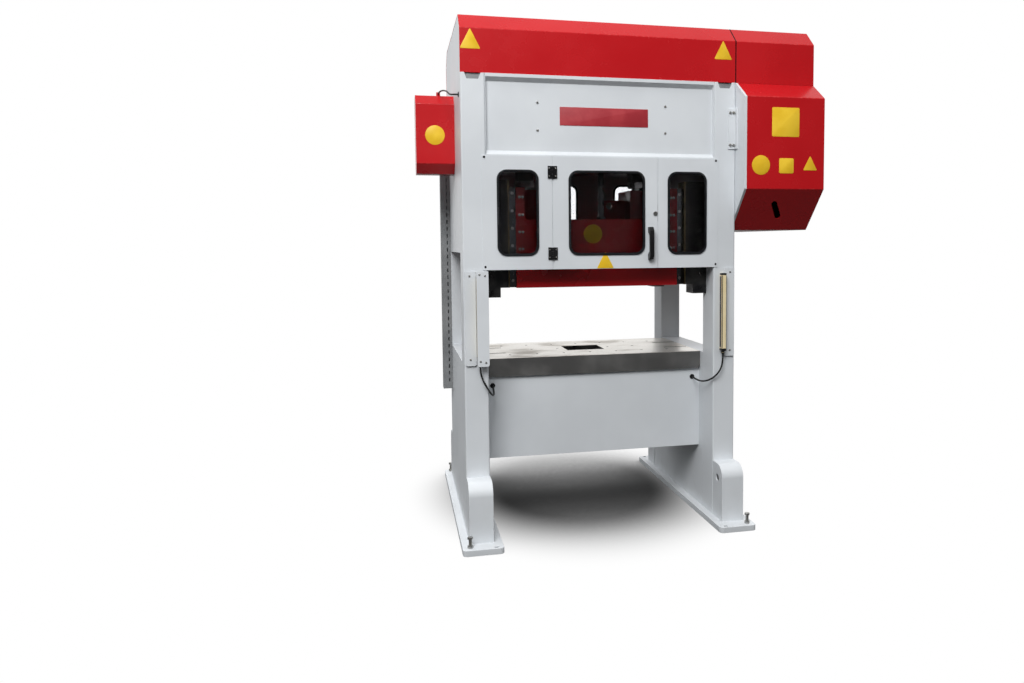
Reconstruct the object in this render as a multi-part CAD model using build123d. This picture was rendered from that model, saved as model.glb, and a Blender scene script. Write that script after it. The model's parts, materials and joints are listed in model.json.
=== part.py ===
from build123d import *
import math
import os

# Straight-side mechanical press with two eccentrics on one cross shaft.
# All sizes are in millimetres. +Z is up and the front faces -Y.
# The origin is the centre of the footprint on the floor.
# Cuts run one millimetre past the faces they open, and welded pieces reach as far into each other.

# Frame
frame_width = 1400.0
frame_depth = 970.0
column_width = 117.0
column_depth = 143.0
column_wall = 12.0
column_corner_radius = 8.0
column_notch_top_width = 78.0
column_notch_bottom_width = 56.0
column_notch_depth = 30.0
bolster_top = 869.0
shaft_height = 2025.0

# Feet
foot_overhang = 207.0
foot_inner_width = 41.0
foot_outer_width = 37.0
foot_thickness = 29.0
foot_corner_radius = 22.0
toe_reach = 125.0
toe_height = 287.0
toe_radius = 65.0
toe_wall = 14.0
toe_port_radius = 18.0
toe_port_drop = 74.6
anchor_hole_radius = 11.0
anchor_end_distance = 19.0
anchor_side_inset = 5.0
level_bolt_end_distance = 36.0
level_bolt_radius = 8.0
level_bolt_clearance = 0.2
level_bolt_tip = 2.0
level_head_width = 24.0
level_head_height = 10.0
level_nut_height = 13.0
level_bolt_stand = 53.0

# Bed and bolster
bolster_thickness = 93.0
bolster_depth = 614.0
bolster_side_gap = 1.0
bolster_corner_radius = 24.0
bed_plate_thickness = 30.0
bed_plate_setback = 196.0
bed_plate_height = 425.0
bed_rib_spacing = 420.0
bed_rib_thickness = 30.0
bed_rib_window_radius = 90.0
scrap_hole_width = 208.0
scrap_hole_depth = 180.0
tee_slot_length = 136.0
tee_slot_width = 18.0
tee_slot_throat = 20.0
tee_slot_head_width = 30.0
tee_slot_head_height = 14.0
tee_slot_spacing = 210.0
bolster_hole_radius = 7.0
bolster_hole_depth = 40.0
bolster_hole_pitch = 145.0
bolster_hole_row = 180.0
cable_hole_radius = 9.0
cable_hole_inset = 41.0
cable_hole_drop = 48.0

# Crown, set by the shaft that it carries
crown_below_shaft = 161.0
crown_above_shaft = 242.0
crown_plate_thickness = 40.0
crown_recess_depth = 20.0
crown_recess_bottom_margin = 20.0
crown_recess_top_margin = 16.0
crown_recess_side_margin = 3.0
crown_recess_slope = 19.0
crown_floor_thickness = 25.0
rod_port_width = 150.0
rod_port_depth = 230.0
bearing_plate_thickness = 40.0
bearing_plate_from_rod = 105.0
bearing_plate_foot_height = 90.0
bearing_shoulder_margin = 40.0
bearing_shoulder_flat = 102.0
bearing_boss_radius = 130.0

# Eccentric shaft
shaft_radius = 60.0
shaft_end_overhang = 8.0
bush_wall = 12.0
running_gap = 0.05
stroke = 60.0
eccentric_radius = 100.0
eccentric_width = 110.0
cam_shaft_radius = 24.0
cam_shaft_length = 89.1

# Connecting rods and their ball screws
rod_inset = 104.0
rod_eye_radius = 140.0
rod_eye_width = 100.0
rod_cheek_half = 100.8
rod_cheek_drop = 84.0
rod_shoulder_drop = 40.0
rod_ear_gap = 6.0
rod_ear_width = 60.0
rod_ear_depth = 52.0
rod_ear_height = 72.0
rod_shank_width = 84.0
rod_shank_depth = 96.0
rod_reach = 233.0
rod_bore_depth = 120.0
screw_radius = 30.0
screw_engagement = 110.0
screw_nut_width = 92.0
screw_nut_height = 34.0
ball_radius = 40.0
ball_below_shaft = 525.0

# Slide, hung from the balls
slide_setback = 110.0
slide_above_ball = 75.0
slide_height = 343.0
slide_wall = 30.0
slide_base_thickness = 60.0
slide_chute_radius = 25.0
slide_hub_radius = 60.0
slide_hub_height = 60.0
slide_post_radius = 30.0
tower_width = 150.0
tower_depth = 240.0
tower_height = 165.0
ball_pocket_gap = 4.0
ball_pocket_drop = 14.0
lug_thickness = 30.0
lug_height = 115.0
lug_hole_radius = 18.0
lug_hole_drop = 32.0
lug_hole_from_tip = 38.0
lug_reach = 128.0
lug_slope_run = 30.0
pad_width = 46.0
pad_depth = 76.0

# Guides
guide_above_slide = 160.0
guide_bar_rise = 3.0
guide_bar_setback = 15.0
guide_bar_width = 36.0
guide_bar_depth = 76.0
tongue_length = 22.0
tongue_depth = 30.0
liner_thickness = 6.0
slide_gap = 0.3
gib_below_slide = 45.0
gib_above_guide = 35.0
gib_width = 116.7
gib_depth = 96.0
gib_setback = 98.0
gib_step_width = 40.0

# Counterbalance
counterbalance_x = 60.0
counterbalance_y = 200.0
counterbalance_radius = 52.0
counterbalance_height = 200.0
counterbalance_cap_height = 16.0
counterbalance_cap_margin = 6.0
counterbalance_rod_radius = 15.0
counterbalance_rod_gap = 2.0
counterbalance_rod_headroom = 30.0
counterbalance_nut_width = 44.0
counterbalance_nut_height = 18.0

# Sheet metal covers
sheet = 3.0
cover_setback = 5.0
cover_height = 289.0
cover_chamfer = 80.0
cover_seam = 2.0
cover_end_inset = 1.0
cover_end_thickness = 12.0
feed_opening_above_slide = 178.0
drive_width = 439.0
drive_reach = 112.0
drive_below_shaft = 508.0
drive_front_below_shaft = 303.0
drive_front_above_shaft = 157.0
drive_bottom_reach = 68.0
drive_plate_thickness = 12.0
drive_bracket_width = 42.0
drive_bracket_reach = 28.0
drive_bracket_thickness = 6.0
drive_bracket_below_shaft = 95.0
drive_bracket_above_shaft = 109.0
sight_slot_length = 128.0
sight_slot_width = 30.0
sight_slot_offset = 218.0
sight_slot_lean = 60.0
encoder_cover_width = 198.0
encoder_cover_depth = 200.0
encoder_cover_height = 406.0
encoder_cover_chamfer = 50.0

# Drive
flywheel_radius = 360.0
flywheel_width = 130.0
flywheel_gap = 52.0
flywheel_rim = 70.0
flywheel_web = 34.0
flywheel_web_start = 48.0
flywheel_hub_radius = 130.0
flywheel_hub_setback = 8.0
quill_radius = 88.0
quill_bore_gap = 4.0
quill_end_gap = 6.0
groove_count = 4
groove_start = 24.0
groove_pitch = 19.0
groove_depth = 11.0
groove_top_width = 13.0
groove_bottom_width = 7.0
pulley_radius = 58.0
pulley_width = 84.0
belt_thickness = 9.0
belt_gap = 0.6
belt_rise = 1.5
belt_side_gap = 0.4
motor_height = 125.0
motor_radius = 108.0
motor_length = 330.0
motor_inset = 30.0
motor_offset_y = 305.0
motor_cowl_length = 90.0
motor_cowl_overhang = 60.0
motor_flange_width = 26.0
motor_fin_count = 18
motor_fin_thickness = 4.0
motor_fin_height = 16.0
motor_foot_inner = 60.0
motor_foot_outer = 118.0
motor_foot_thickness = 14.0
motor_foot_margin = 60.0
motor_foot_web = 22.0
motor_box_half = 60.0
motor_box_height = 34.0
motor_shaft_radius = 19.0
motor_shaft_gap = 0.3
motor_base_thickness = 16.0
motor_base_half_depth = 140.0
motor_base_gap = 2.0
clutch_radius = 190.0
clutch_width = 150.0
clutch_gap = 8.0
clutch_drum_width = 46.0
clutch_cover_radius = 155.8
clutch_cover_width = 50.0
clutch_boss_radius = 104.5
clutch_bolt_count = 6
clutch_bolt_radius = 12.0
clutch_bolt_height = 12.0
clutch_bolt_circle = 129.2

# Position cams and their switches
cam_count = 4
cam_start = 30.0
cam_pitch = 13.0
cam_radius = 44.0
cam_thickness = 8.0
cam_notch_width = 18.0
cam_notch_depth = 10.0
cam_first_angle = 40.0
cam_angle_step = 70.0
switch_thickness = 10.0
switch_depth = 52.0
switch_top_drop = 62.0
switch_height = 46.0
switch_plunger_radius = 3.0
switch_plunger_gap = 2.0
switch_bracket_reach = 76.0
switch_bracket_depth = 68.0
switch_bracket_thickness = 6.0

# Point-of-work guards
guard_above_slide = 95.0
guard_overlap = 21.6
guard_top_overlap = 15.0
guard_flange = 24.0
guard_flange_gap = 2.0
guard_seam = 2.0
left_panel_width = 323.0
right_panel_width = 302.0
window_height = 417.0
window_rise = 276.0
window_radius = 48.0
left_window_edge = 50.0
left_window_from_door = 68.0
door_window_left_edge = 80.0
door_window_right_edge = 68.0
right_window_edge = 41.0
right_window_from_door = 51.0
rear_window_width = 180.0
rear_window_inset = 178.0
gasket_lip = 12.0
gasket_proud = 5.0
pane_thickness = 6.0
hinge_height = 60.0
hinge_leaf = 23.0
hinge_leaf_thickness = 6.0
hinge_knuckle_radius = 6.0
hinge_gap = 0.8
hinge_inset = 78.0
handle_height = 163.0
handle_from_right = 42.0
handle_rise = 125.0
handle_foot_height = 26.0
handle_foot_slope = 14.0
handle_end_slope = 18.0
handle_bar_width = 22.0
handle_bar_thickness = 12.0
handle_edge_radius = 8.0
handle_stand = 38.0
lock_radius = 11.0
lock_from_right = 14.0
lock_rise = 274.0
lock_head_height = 4.0
lock_barrel_radius = 7.4
lock_barrel_hole_radius = 7.7
lock_barrel_reach = 8.0
lock_slot_width = 3.0
lock_slot_length = 14.0
lock_slot_depth = 2.0
lock_tongue_length = 30.0
lock_tongue_width = 12.0
lock_tongue_thickness = 4.0
lock_tongue_setback = 7.0
lock_tongue_gap = 1.5

# Light curtains
curtain_above_bolster = 39.0
curtain_below_guard = 41.0
curtain_width = 26.0
curtain_depth = 32.0
curtain_edge_chamfer = 3.0
curtain_offset = 30.0
curtain_clip_inset = 5.0
curtain_clip_low = 10.0
curtain_clip_height = 18.0
curtain_cap_rise = 10.0
curtain_cover_below_bolster = 5.0
curtain_cover_below_guard = 5.0
curtain_cover_width = 54.0
curtain_cover_offset = 58.0
curtain_cover_depth = 40.0
curtain_cover_radius = 10.0
curtain_flange_start = 12.0
curtain_flange_end = 2.0
curtain_plate_depth = 9.0

# Cables: those of the front curtains go into the bed, the encoder's into the left front column
curtain_cable_diameter = 9.0
curtain_gland_radius = 8.0
curtain_gland_length = 16.0
curtain_end_cap = 12.0
encoder_cable_diameter = 8.0
encoder_elbow_width = 20.0
encoder_elbow_length = 26.0
encoder_elbow_radius = 4.0
encoder_elbow_offset = 76.0
encoder_elbow_rise = 16.0
encoder_cable_hole_radius = 9.0
encoder_cable_hole_setback = 87.0
encoder_cable_hole_rise = 151.0

# Cable duct on the left rear column
duct_width = 54.0
duct_depth = 60.0
duct_wall = 3.0
duct_bottom = 610.0
duct_above_crown = 36.0
duct_slot_pitch = 40.0
duct_slot_height = 22.0
duct_slot_width = 6.0
duct_slot_from_column = 22.0
duct_slot_margin = 40.0

# Planes and places across the press
half_width = frame_width / 2
inner_half = half_width - column_width
slide_half = inner_half - gib_width - liner_thickness - slide_gap - guide_bar_width
rod_centre = slide_half - rod_inset
bearing_plate_centre = rod_centre - bearing_plate_from_rod
flywheel_start = half_width + flywheel_gap
clutch_start = flywheel_start + flywheel_width + clutch_gap
curtain_edge = inner_half + curtain_offset
curtain_plate_inner = inner_half + curtain_cover_offset
encoder_elbow_x = -half_width - encoder_elbow_offset
door_left = left_panel_width - inner_half
door_right = inner_half - right_panel_width
left_window = (left_window_edge - inner_half, door_left - left_window_from_door)
door_window = (door_left + door_window_left_edge, door_right - door_window_right_edge)
right_window = (door_right + right_window_from_door, inner_half - right_window_edge)

# Planes and places from front to back
front = -frame_depth / 2
column_back = front + column_depth
bed_front = front + bed_plate_setback
slide_front = front + slide_setback
foot_end = foot_overhang - front

# Heights
bolster_bottom = bolster_top - bolster_thickness
bed_plate_bottom = bolster_bottom - bed_plate_height
crown_bottom = shaft_height - crown_below_shaft
frame_top = shaft_height + crown_above_shaft
crown_floor_top = crown_bottom + crown_floor_thickness
cover_top = frame_top + cover_height
eccentricity = stroke / 2
rod_bottom = shaft_height - rod_reach
ball_height = shaft_height - ball_below_shaft
slide_top = ball_height + slide_above_ball
slide_bottom = slide_top - slide_height
slide_floor = slide_bottom + slide_base_thickness
tower_top = slide_top + tower_height
guide_bottom = slide_bottom + guide_bar_rise
guide_top = slide_top + guide_above_slide
gib_bottom = slide_bottom - gib_below_slide
gib_top = guide_top + gib_above_guide
feed_opening_top = slide_bottom + feed_opening_above_slide
guard_bottom = slide_bottom + guard_above_slide
guard_top = crown_bottom + guard_top_overlap
window_low = guard_bottom + window_rise - window_height / 2
window_high = guard_bottom + window_rise + window_height / 2
lock_height = guard_bottom + lock_rise
curtain_bottom = bolster_top + curtain_above_bolster
curtain_top = guard_bottom - curtain_below_guard
curtain_cover_bottom = bolster_top - curtain_cover_below_bolster
curtain_cover_top = guard_bottom - curtain_cover_below_guard
encoder_cover_top = shaft_height + encoder_cover_height / 2
encoder_cover_bottom = shaft_height - encoder_cover_height / 2
encoder_cable_height = encoder_cover_top + encoder_elbow_rise
motor_base_top = frame_top + motor_base_thickness


def block(x0, x1, y0, y1, z0, z1):
    """A box between two corners."""
    centre = Pos((x0 + x1) / 2, (y0 + y1) / 2, (z0 + z1) / 2)
    return centre * Box(x1 - x0, y1 - y0, z1 - z0)


def prism_x(points, x0, x1):
    """A (y, z) outline drawn out along X."""
    face = make_face(Plane.YZ.offset(x0) * Polyline(*points, close=True))
    return extrude(face, amount=x1 - x0, dir=(1, 0, 0))


def prism_y(points, y0, y1):
    """An (x, z) outline drawn out along Y."""
    plane = Plane((0, y0, 0), x_dir=(1, 0, 0), z_dir=(0, -1, 0))
    face = make_face(plane * Polyline(*points, close=True))
    return extrude(face, amount=y1 - y0, dir=(0, 1, 0))


def bar_x(radius, x0, x1, y, z):
    return Pos((x0 + x1) / 2, y, z) * Rot(0, 90, 0) * Cylinder(radius, x1 - x0)


def bar_y(radius, y0, y1, x, z):
    return Pos(x, (y0 + y1) / 2, z) * Rot(90, 0, 0) * Cylinder(radius, y1 - y0)


def bar_z(radius, z0, z1, x, y):
    return Pos(x, y, (z0 + z1) / 2) * Cylinder(radius, z1 - z0)


def hexagon(width, z0, z1, x, y):
    return Pos(x, y, z0) * extrude(RegularPolygon(width / 2, 6, major_radius=False), amount=z1 - z0)


def rounded_slot_y(x0, x1, z0, z1, y0, y1, radius):
    """A rectangular hole with round corners, through a sheet that faces the front."""
    plane = Plane(((x0 + x1) / 2, y1, (z0 + z1) / 2), x_dir=(1, 0, 0), z_dir=(0, -1, 0))
    return extrude(plane * RectangleRounded(x1 - x0, z1 - z0, radius), amount=y1 - y0)


def left_of(shape):
    return mirror(shape, about=Plane.YZ)


def rear_of(shape):
    return mirror(shape, about=Plane.XZ)


def group(*shapes):
    solids = []
    for shape in shapes:
        solids.extend(shape.solids())
    return Compound(children=solids)


# Feet: one long plate under each side, with a rounded toe box welded in front and behind
def foot():
    inner = inner_half - foot_inner_width
    outer = half_width + foot_outer_width
    plate = block(inner, outer, -foot_end, foot_end, 0, foot_thickness)
    plate = fillet(plate.edges().filter_by(Axis.Z), foot_corner_radius)
    for side in (-1, 1):
        anchor_x = inner_half - anchor_side_inset
        anchor_y = side * (foot_end - anchor_end_distance)
        plate -= bar_z(anchor_hole_radius, -1, foot_thickness + 1, anchor_x, anchor_y)
        bolt_y = side * (foot_end - level_bolt_end_distance)
        plate -= bar_z(level_bolt_radius, -1, foot_thickness + 1, half_width, bolt_y)
    toe = toe_box()
    return plate + toe + rear_of(toe)


def toe_box():
    bottom = foot_thickness
    top = bottom + toe_height
    tip = front - toe_reach
    outline = [(front, bottom), (tip, bottom), (tip, top), (front, top)]
    toe = prism_x(outline, inner_half, half_width)
    crest = toe.edges().filter_by(Axis.X).group_by(Axis.Y)[0].sort_by(Axis.Z)[-1]
    toe = fillet(crest, toe_radius)
    hollow_outline = [
        (front + 1, bottom - 1),
        (tip + toe_wall, bottom - 1),
        (tip + toe_wall, top - toe_wall),
        (front + 1, top - toe_wall),
    ]
    hollow = prism_x(hollow_outline, inner_half + toe_wall, half_width - toe_wall)
    crest = hollow.edges().filter_by(Axis.X).group_by(Axis.Y)[0].sort_by(Axis.Z)[-1]
    hollow = fillet(crest, toe_radius - toe_wall)
    port_y = front - toe_reach / 2
    port = bar_x(toe_port_radius, inner_half - 1, inner_half + toe_wall + 1, port_y, top - toe_port_drop)
    return toe - hollow - port


def level_bolts():
    top = foot_thickness + level_bolt_stand
    bolts = []
    for side_x in (-1, 1):
        for side_y in (-1, 1):
            x = side_x * half_width
            y = side_y * (foot_end - level_bolt_end_distance)
            bolt = bar_z(level_bolt_radius - level_bolt_clearance, level_bolt_tip, top, x, y)
            bolt += hexagon(level_head_width, top - level_head_height, top, x, y)
            bolt += hexagon(level_head_width, foot_thickness, foot_thickness + level_nut_height, x, y)
            bolts.append(bolt)
    return group(*bolts)


# Columns: hollow box sections with rounded outer corners, open at the top under the cover
def column():
    wall = column_wall
    outer = block(inner_half, half_width, front, column_back, foot_thickness, frame_top)
    corners = outer.edges().filter_by(Axis.Z).group_by(Axis.Y)[0]
    outer = fillet(corners, column_corner_radius)
    inner = block(
        inner_half + wall, half_width - wall,
        front + wall, column_back - wall,
        foot_thickness - 1, frame_top + 1,
    )
    middle = inner_half + column_width / 2
    notch = prism_y(
        [
            (middle - column_notch_top_width / 2, frame_top + 1),
            (middle - column_notch_bottom_width / 2, frame_top - column_notch_depth),
            (middle + column_notch_bottom_width / 2, frame_top - column_notch_depth),
            (middle + column_notch_top_width / 2, frame_top + 1),
        ],
        front - 1,
        front + wall + 1,
    )
    return outer - inner - notch


def column_with_cable_hole():
    left = left_of(column())
    inside = column_wall + 1 - half_width
    y = front + encoder_cable_hole_setback
    z = shaft_height + encoder_cable_hole_rise
    return left - bar_x(encoder_cable_hole_radius, -half_width - 1, inside, y, z)


# Side walls: folded boxes between the columns, below and above the feed opening
def side_walls():
    wall = column_wall
    inner = inner_half + wall
    outer = half_width - wall
    ends = (column_back - 1, 1 - column_back)
    lower = block(inner_half, half_width, column_back, -column_back, foot_thickness, bolster_top)
    lower -= block(inner, outer, *ends, foot_thickness - 1, bolster_top - wall)
    upper = block(inner_half, half_width, column_back, -column_back, feed_opening_top, frame_top)
    upper -= block(inner, outer, *ends, feed_opening_top + wall, frame_top + 1)
    upper += bar_x(bearing_boss_radius, inner_half + wall / 2, half_width - wall / 2, 0, shaft_height)
    upper -= bar_x(shaft_radius + bush_wall, inner_half - 1, half_width + 1, 0, shaft_height)
    return group(lower, upper)


# Bed: a front and a rear plate joined by two ribs, under the machined bolster
def bed_plate():
    bed_back = bed_front + bed_plate_thickness
    plate = block(-inner_half, inner_half, bed_front, bed_back, bed_plate_bottom, bolster_bottom)
    for side in (-1, 1):
        x = side * (inner_half - cable_hole_inset)
        plate -= bar_y(cable_hole_radius, bed_front - 1, bed_back + 1, x, bolster_bottom - cable_hole_drop)
    return plate


def bed_ribs():
    inside = -bed_front - bed_plate_thickness
    half = bed_rib_thickness / 2
    middle = (bed_plate_bottom + bolster_bottom) / 2
    ribs = []
    for side in (-1, 1):
        x = side * bed_rib_spacing / 2
        rib = block(x - half, x + half, -inside, inside, bed_plate_bottom, bolster_bottom)
        ribs.append(rib - bar_x(bed_rib_window_radius, x - half - 1, x + half + 1, 0, middle))
    return group(*ribs)


def bolster():
    half = inner_half - bolster_side_gap
    depth = bolster_depth / 2
    plate = block(-half, half, -depth, depth, bolster_bottom, bolster_top)
    lower = plate.edges().filter_by(Axis.Y).group_by(Axis.Z)[0]
    plate = fillet(lower, bolster_corner_radius)
    plate -= block(
        -scrap_hole_width / 2, scrap_hole_width / 2,
        -scrap_hole_depth / 2, scrap_hole_depth / 2,
        bolster_bottom - 1, bolster_top + 1,
    )
    throat = tee_slot_width / 2
    head = tee_slot_head_width / 2
    shoulder = bolster_top - tee_slot_throat
    for side_x in (-1, 1):
        for side_y in (-1, 1):
            y = side_y * tee_slot_spacing / 2
            ends = sorted((side_x * (half - tee_slot_length), side_x * (half + 1)))
            plate -= block(*ends, y - throat, y + throat, shoulder, bolster_top + 1)
            plate -= block(*ends, y - head, y + head, shoulder - tee_slot_head_height, shoulder)
    for x, y in bolster_holes():
        plate -= bar_z(bolster_hole_radius, bolster_top - bolster_hole_depth, bolster_top + 1, x, y)
    return plate


def bolster_holes():
    places = []
    for step in range(-3, 4):
        for row in (-1, 1):
            places.append((step * bolster_hole_pitch, row * bolster_hole_row))
    for step in (-2, -1, 1, 2):
        places.append((step * bolster_hole_pitch, 0))
    return places


# Crown: front and rear plates with a shallow sloped recess, a floor and two bearing plates
def crown_plate():
    back = front + crown_plate_thickness
    plate = block(-inner_half, inner_half, front, back, crown_bottom, frame_top)
    low = crown_bottom + crown_recess_bottom_margin
    high = frame_top - crown_recess_top_margin
    centre = (0, front + crown_recess_depth, (low + high) / 2)
    floor_plane = Plane(centre, x_dir=(1, 0, 0), z_dir=(0, -1, 0))
    width = 2 * (inner_half - crown_recess_side_margin)
    height = high - low
    slopes = 2 * crown_recess_slope
    small = floor_plane * Rectangle(width - slopes, height - slopes)
    large = floor_plane.offset(crown_recess_depth) * Rectangle(width, height)
    return plate - loft(Sketch() + [small, large])


def crown_floor():
    inside = front + crown_plate_thickness
    half_x = rod_port_width / 2
    half_y = rod_port_depth / 2
    floor = block(-inner_half, inner_half, inside, -inside, crown_bottom, crown_floor_top)
    for side in (-1, 1):
        x = side * rod_centre
        floor -= block(x - half_x, x + half_x, -half_y, half_y, crown_bottom - 1, crown_floor_top + 1)
        radius = counterbalance_rod_radius + counterbalance_rod_gap
        place = (side * counterbalance_x, -side * counterbalance_y)
        floor -= bar_z(radius, crown_bottom - 1, crown_floor_top + 1, *place)
    return floor


def bearing_plates():
    inside = -front - crown_plate_thickness
    foot_top = crown_floor_top + bearing_plate_foot_height
    shoulder = bearing_boss_radius + bearing_shoulder_margin
    flat = bearing_shoulder_flat
    half = bearing_plate_thickness / 2
    plates = []
    for side in (-1, 1):
        x = side * bearing_plate_centre
        outline = [
            (-inside, crown_floor_top),
            (inside, crown_floor_top),
            (inside, foot_top),
            (shoulder, shaft_height + flat),
            (flat, shaft_height + shoulder),
            (-flat, shaft_height + shoulder),
            (-shoulder, shaft_height + flat),
            (-inside, foot_top),
        ]
        plate = prism_x(outline, x - half, x + half)
        plates.append(plate - bar_x(shaft_radius + bush_wall, x - half - 1, x + half + 1, 0, shaft_height))
    return group(*plates)


def main_bushes():
    half = bearing_plate_thickness / 2
    spans = [(inner_half, half_width), (bearing_plate_centre - half, bearing_plate_centre + half)]
    bushes = []
    for x0, x1 in spans:
        bush = bar_x(shaft_radius + bush_wall, x0, x1, 0, shaft_height)
        bush -= bar_x(shaft_radius + running_gap, x0 - 1, x1 + 1, 0, shaft_height)
        bushes += [bush, left_of(bush)]
    return group(*bushes)


# Eccentric shaft, held at the top of its turn
def crankshaft():
    right_end = clutch_start + clutch_width
    shaft = bar_x(shaft_radius, -half_width - shaft_end_overhang, right_end, 0, shaft_height)
    shaft += bar_x(cam_shaft_radius, -half_width - cam_shaft_length, -half_width, 0, shaft_height)
    half = eccentric_width / 2
    for side in (-1, 1):
        x = side * rod_centre
        shaft += bar_x(eccentric_radius, x - half, x + half, 0, shaft_height + eccentricity)
    return shaft


def connecting_rod(side):
    x = side * rod_centre
    centre = shaft_height + eccentricity
    half = rod_eye_width / 2
    rod = bar_x(rod_eye_radius, x - half, x + half, 0, centre)
    shank_x = rod_shank_width / 2
    shank_y = rod_shank_depth / 2
    cheek = centre - rod_cheek_drop
    shoulder = centre - rod_eye_radius - rod_shoulder_drop
    outline = [
        (-rod_cheek_half, cheek),
        (-shank_y, shoulder),
        (-shank_y, rod_bottom),
        (shank_y, rod_bottom),
        (shank_y, shoulder),
        (rod_cheek_half, cheek),
    ]
    rod += prism_x(outline, x - shank_x, x + shank_x)
    ear = Box(rod_ear_width, rod_ear_depth, rod_ear_height)
    for way in (-1, 1):
        rod += Pos(x, way * (rod_eye_radius + rod_ear_gap), centre) * ear
    rod -= bar_x(eccentric_radius + running_gap, x - half - 1, x + half + 1, 0, centre)
    return rod - bar_z(screw_radius, rod_bottom - 1, rod_bottom + rod_bore_depth, x, 0)


def ball_screws():
    screws = []
    for side in (-1, 1):
        x = side * rod_centre
        screw = bar_z(screw_radius, ball_height, rod_bottom + screw_engagement, x, 0)
        screw += Pos(x, 0, ball_height) * Sphere(ball_radius)
        screw += hexagon(screw_nut_width, rod_bottom - screw_nut_height, rod_bottom, x, 0)
        screws.append(screw)
    return group(*screws)


# Slide: an open-topped welded box with a socket tower over each ball pocket
def slide_body():
    inside = slide_half - slide_wall
    depth = -slide_front
    body = block(-slide_half, slide_half, -depth, depth, slide_bottom, slide_top)
    body -= block(-inside, inside, slide_wall - depth, depth - slide_wall, slide_floor, slide_top + 1)
    root = slide_floor - 1
    rib = lug_thickness / 2
    rib_end = depth - slide_wall / 2
    body += block(-inside - 1, inside + 1, -rib, rib, root, slide_top)
    for side in (-1, 1):
        x = side * rod_centre
        half = tower_width / 2
        body += block(x - half, x + half, -tower_depth / 2, tower_depth / 2, root, tower_top)
        body += block(x - rib, x + rib, -rib_end, rib_end, root, slide_top)
        body += lifting_lug(side)
        body += bar_z(slide_post_radius, root, slide_top, side * counterbalance_x, -side * counterbalance_y)
        for way in (-1, 1):
            pad_x = sorted((side * slide_half, side * (slide_half - pad_width)))
            pad_y = sorted((way * depth, way * (depth - pad_depth)))
            body += block(*pad_x, *pad_y, slide_top - 1, guide_top)
    for side in (-1, 1):
        body -= ball_pocket(side * rod_centre)
    hub_top = slide_floor + slide_hub_height
    body += bar_z(slide_hub_radius, root, hub_top, 0, 0)
    body -= bar_z(slide_chute_radius, slide_bottom - 1, hub_top + 1, 0, 0)
    return body - slide_holes()


def lifting_lug(side):
    """A plate with a shackle hole beside the socket tower."""
    tower_edge = rod_centre - tower_width / 2
    tip = tower_edge - lug_reach
    top = slide_top + lug_height
    outline = [
        (tip - lug_slope_run, slide_top - 1),
        (tower_edge + 1, slide_top - 1),
        (tower_edge + 1, top),
        (tip, top),
    ]
    lug = prism_y(outline, -lug_thickness / 2, lug_thickness / 2)
    hole_x = tip + lug_hole_from_tip
    lug -= bar_y(lug_hole_radius, -lug_thickness, lug_thickness, hole_x, top - lug_hole_drop)
    return lug if side > 0 else left_of(lug)


def ball_pocket(x):
    """The pocket lets the ball end swing with its rod while the slide only rises and falls."""
    radius = ball_radius + ball_pocket_gap
    swing = eccentricity + ball_pocket_gap
    bottom = ball_height - ball_radius - ball_pocket_drop
    pocket = block(x - radius, x + radius, -swing, swing, bottom, tower_top + 1)
    for way in (-1, 1):
        pocket += bar_z(radius, bottom, tower_top + 1, x, way * swing)
    return pocket


def slide_holes():
    """Tapped holes under the slide, on the same pattern as the bolster's outer rows."""
    holes = []
    for x, y in bolster_holes():
        if abs(y) > 0 and slide_hub_radius < abs(x) < slide_half - slide_wall:
            holes.append(bar_z(bolster_hole_radius, slide_bottom - 1, slide_bottom + bolster_hole_depth, x, y))
    return holes


# Guides: tongued bars on the slide corners run in lined gibs on the columns
def guide_bar():
    """The bar at the front right corner."""
    face = slide_half + guide_bar_width
    y0 = slide_front + guide_bar_setback
    middle = y0 + guide_bar_depth / 2
    half = tongue_depth / 2
    bar = block(slide_half, face, y0, y0 + guide_bar_depth, guide_bottom, guide_top)
    return bar + block(face - 1, face + tongue_length, middle - half, middle + half, guide_bottom, guide_top)


def gib_and_liner():
    """One gib and its liner at the front right corner."""
    bar_face = slide_half + guide_bar_width
    middle = slide_front + guide_bar_setback + guide_bar_depth / 2
    liner_face = bar_face + slide_gap
    x0 = liner_face + liner_thickness
    y0 = front + gib_setback
    y1 = y0 + gib_depth
    body = block(x0, inner_half, y0, y1, gib_bottom, gib_top)
    body -= block(x0 - 1, x0 + gib_step_width, y0 - 1, y1 + 1, gib_bottom - 1, guide_bottom)
    groove = tongue_depth / 2 + slide_gap + liner_thickness
    groove_end = liner_face + tongue_length + liner_thickness
    body -= block(x0 - 1, groove_end, middle - groove, middle + groove, gib_bottom - 1, gib_top + 1)
    lining = block(liner_face, groove_end, middle - groove, middle + groove, guide_bottom, gib_top)
    lining += block(liner_face, x0, y0, y1, guide_bottom, gib_top)
    clear = tongue_depth / 2 + slide_gap
    clear_end = groove_end - liner_thickness
    lining -= block(bar_face, clear_end, middle - clear, middle + clear, gib_bottom, gib_top + 1)
    return body, lining


def at_corners(shape):
    """The same piece at the four corners, from the one at the front right."""
    right = [shape, rear_of(shape)]
    return group(*right, *[left_of(piece) for piece in right])


# Counterbalance: two air cylinders on the crown floor lift the slide
def counterbalance_cylinders():
    bottom = crown_floor_top
    top = bottom + counterbalance_height
    cap = counterbalance_cap_height
    half = counterbalance_radius + counterbalance_cap_margin
    bore = counterbalance_rod_radius + counterbalance_rod_gap
    parts = []
    for side in (-1, 1):
        x = side * counterbalance_x
        y = -side * counterbalance_y
        body = bar_z(counterbalance_radius, bottom + cap - 2, top - cap + 2, x, y)
        for low in (bottom, top - cap):
            body += block(x - half, x + half, y - half, y + half, low, low + cap)
        parts.append(body - bar_z(bore, bottom - 1, top - cap, x, y))
    return group(*parts)


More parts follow.
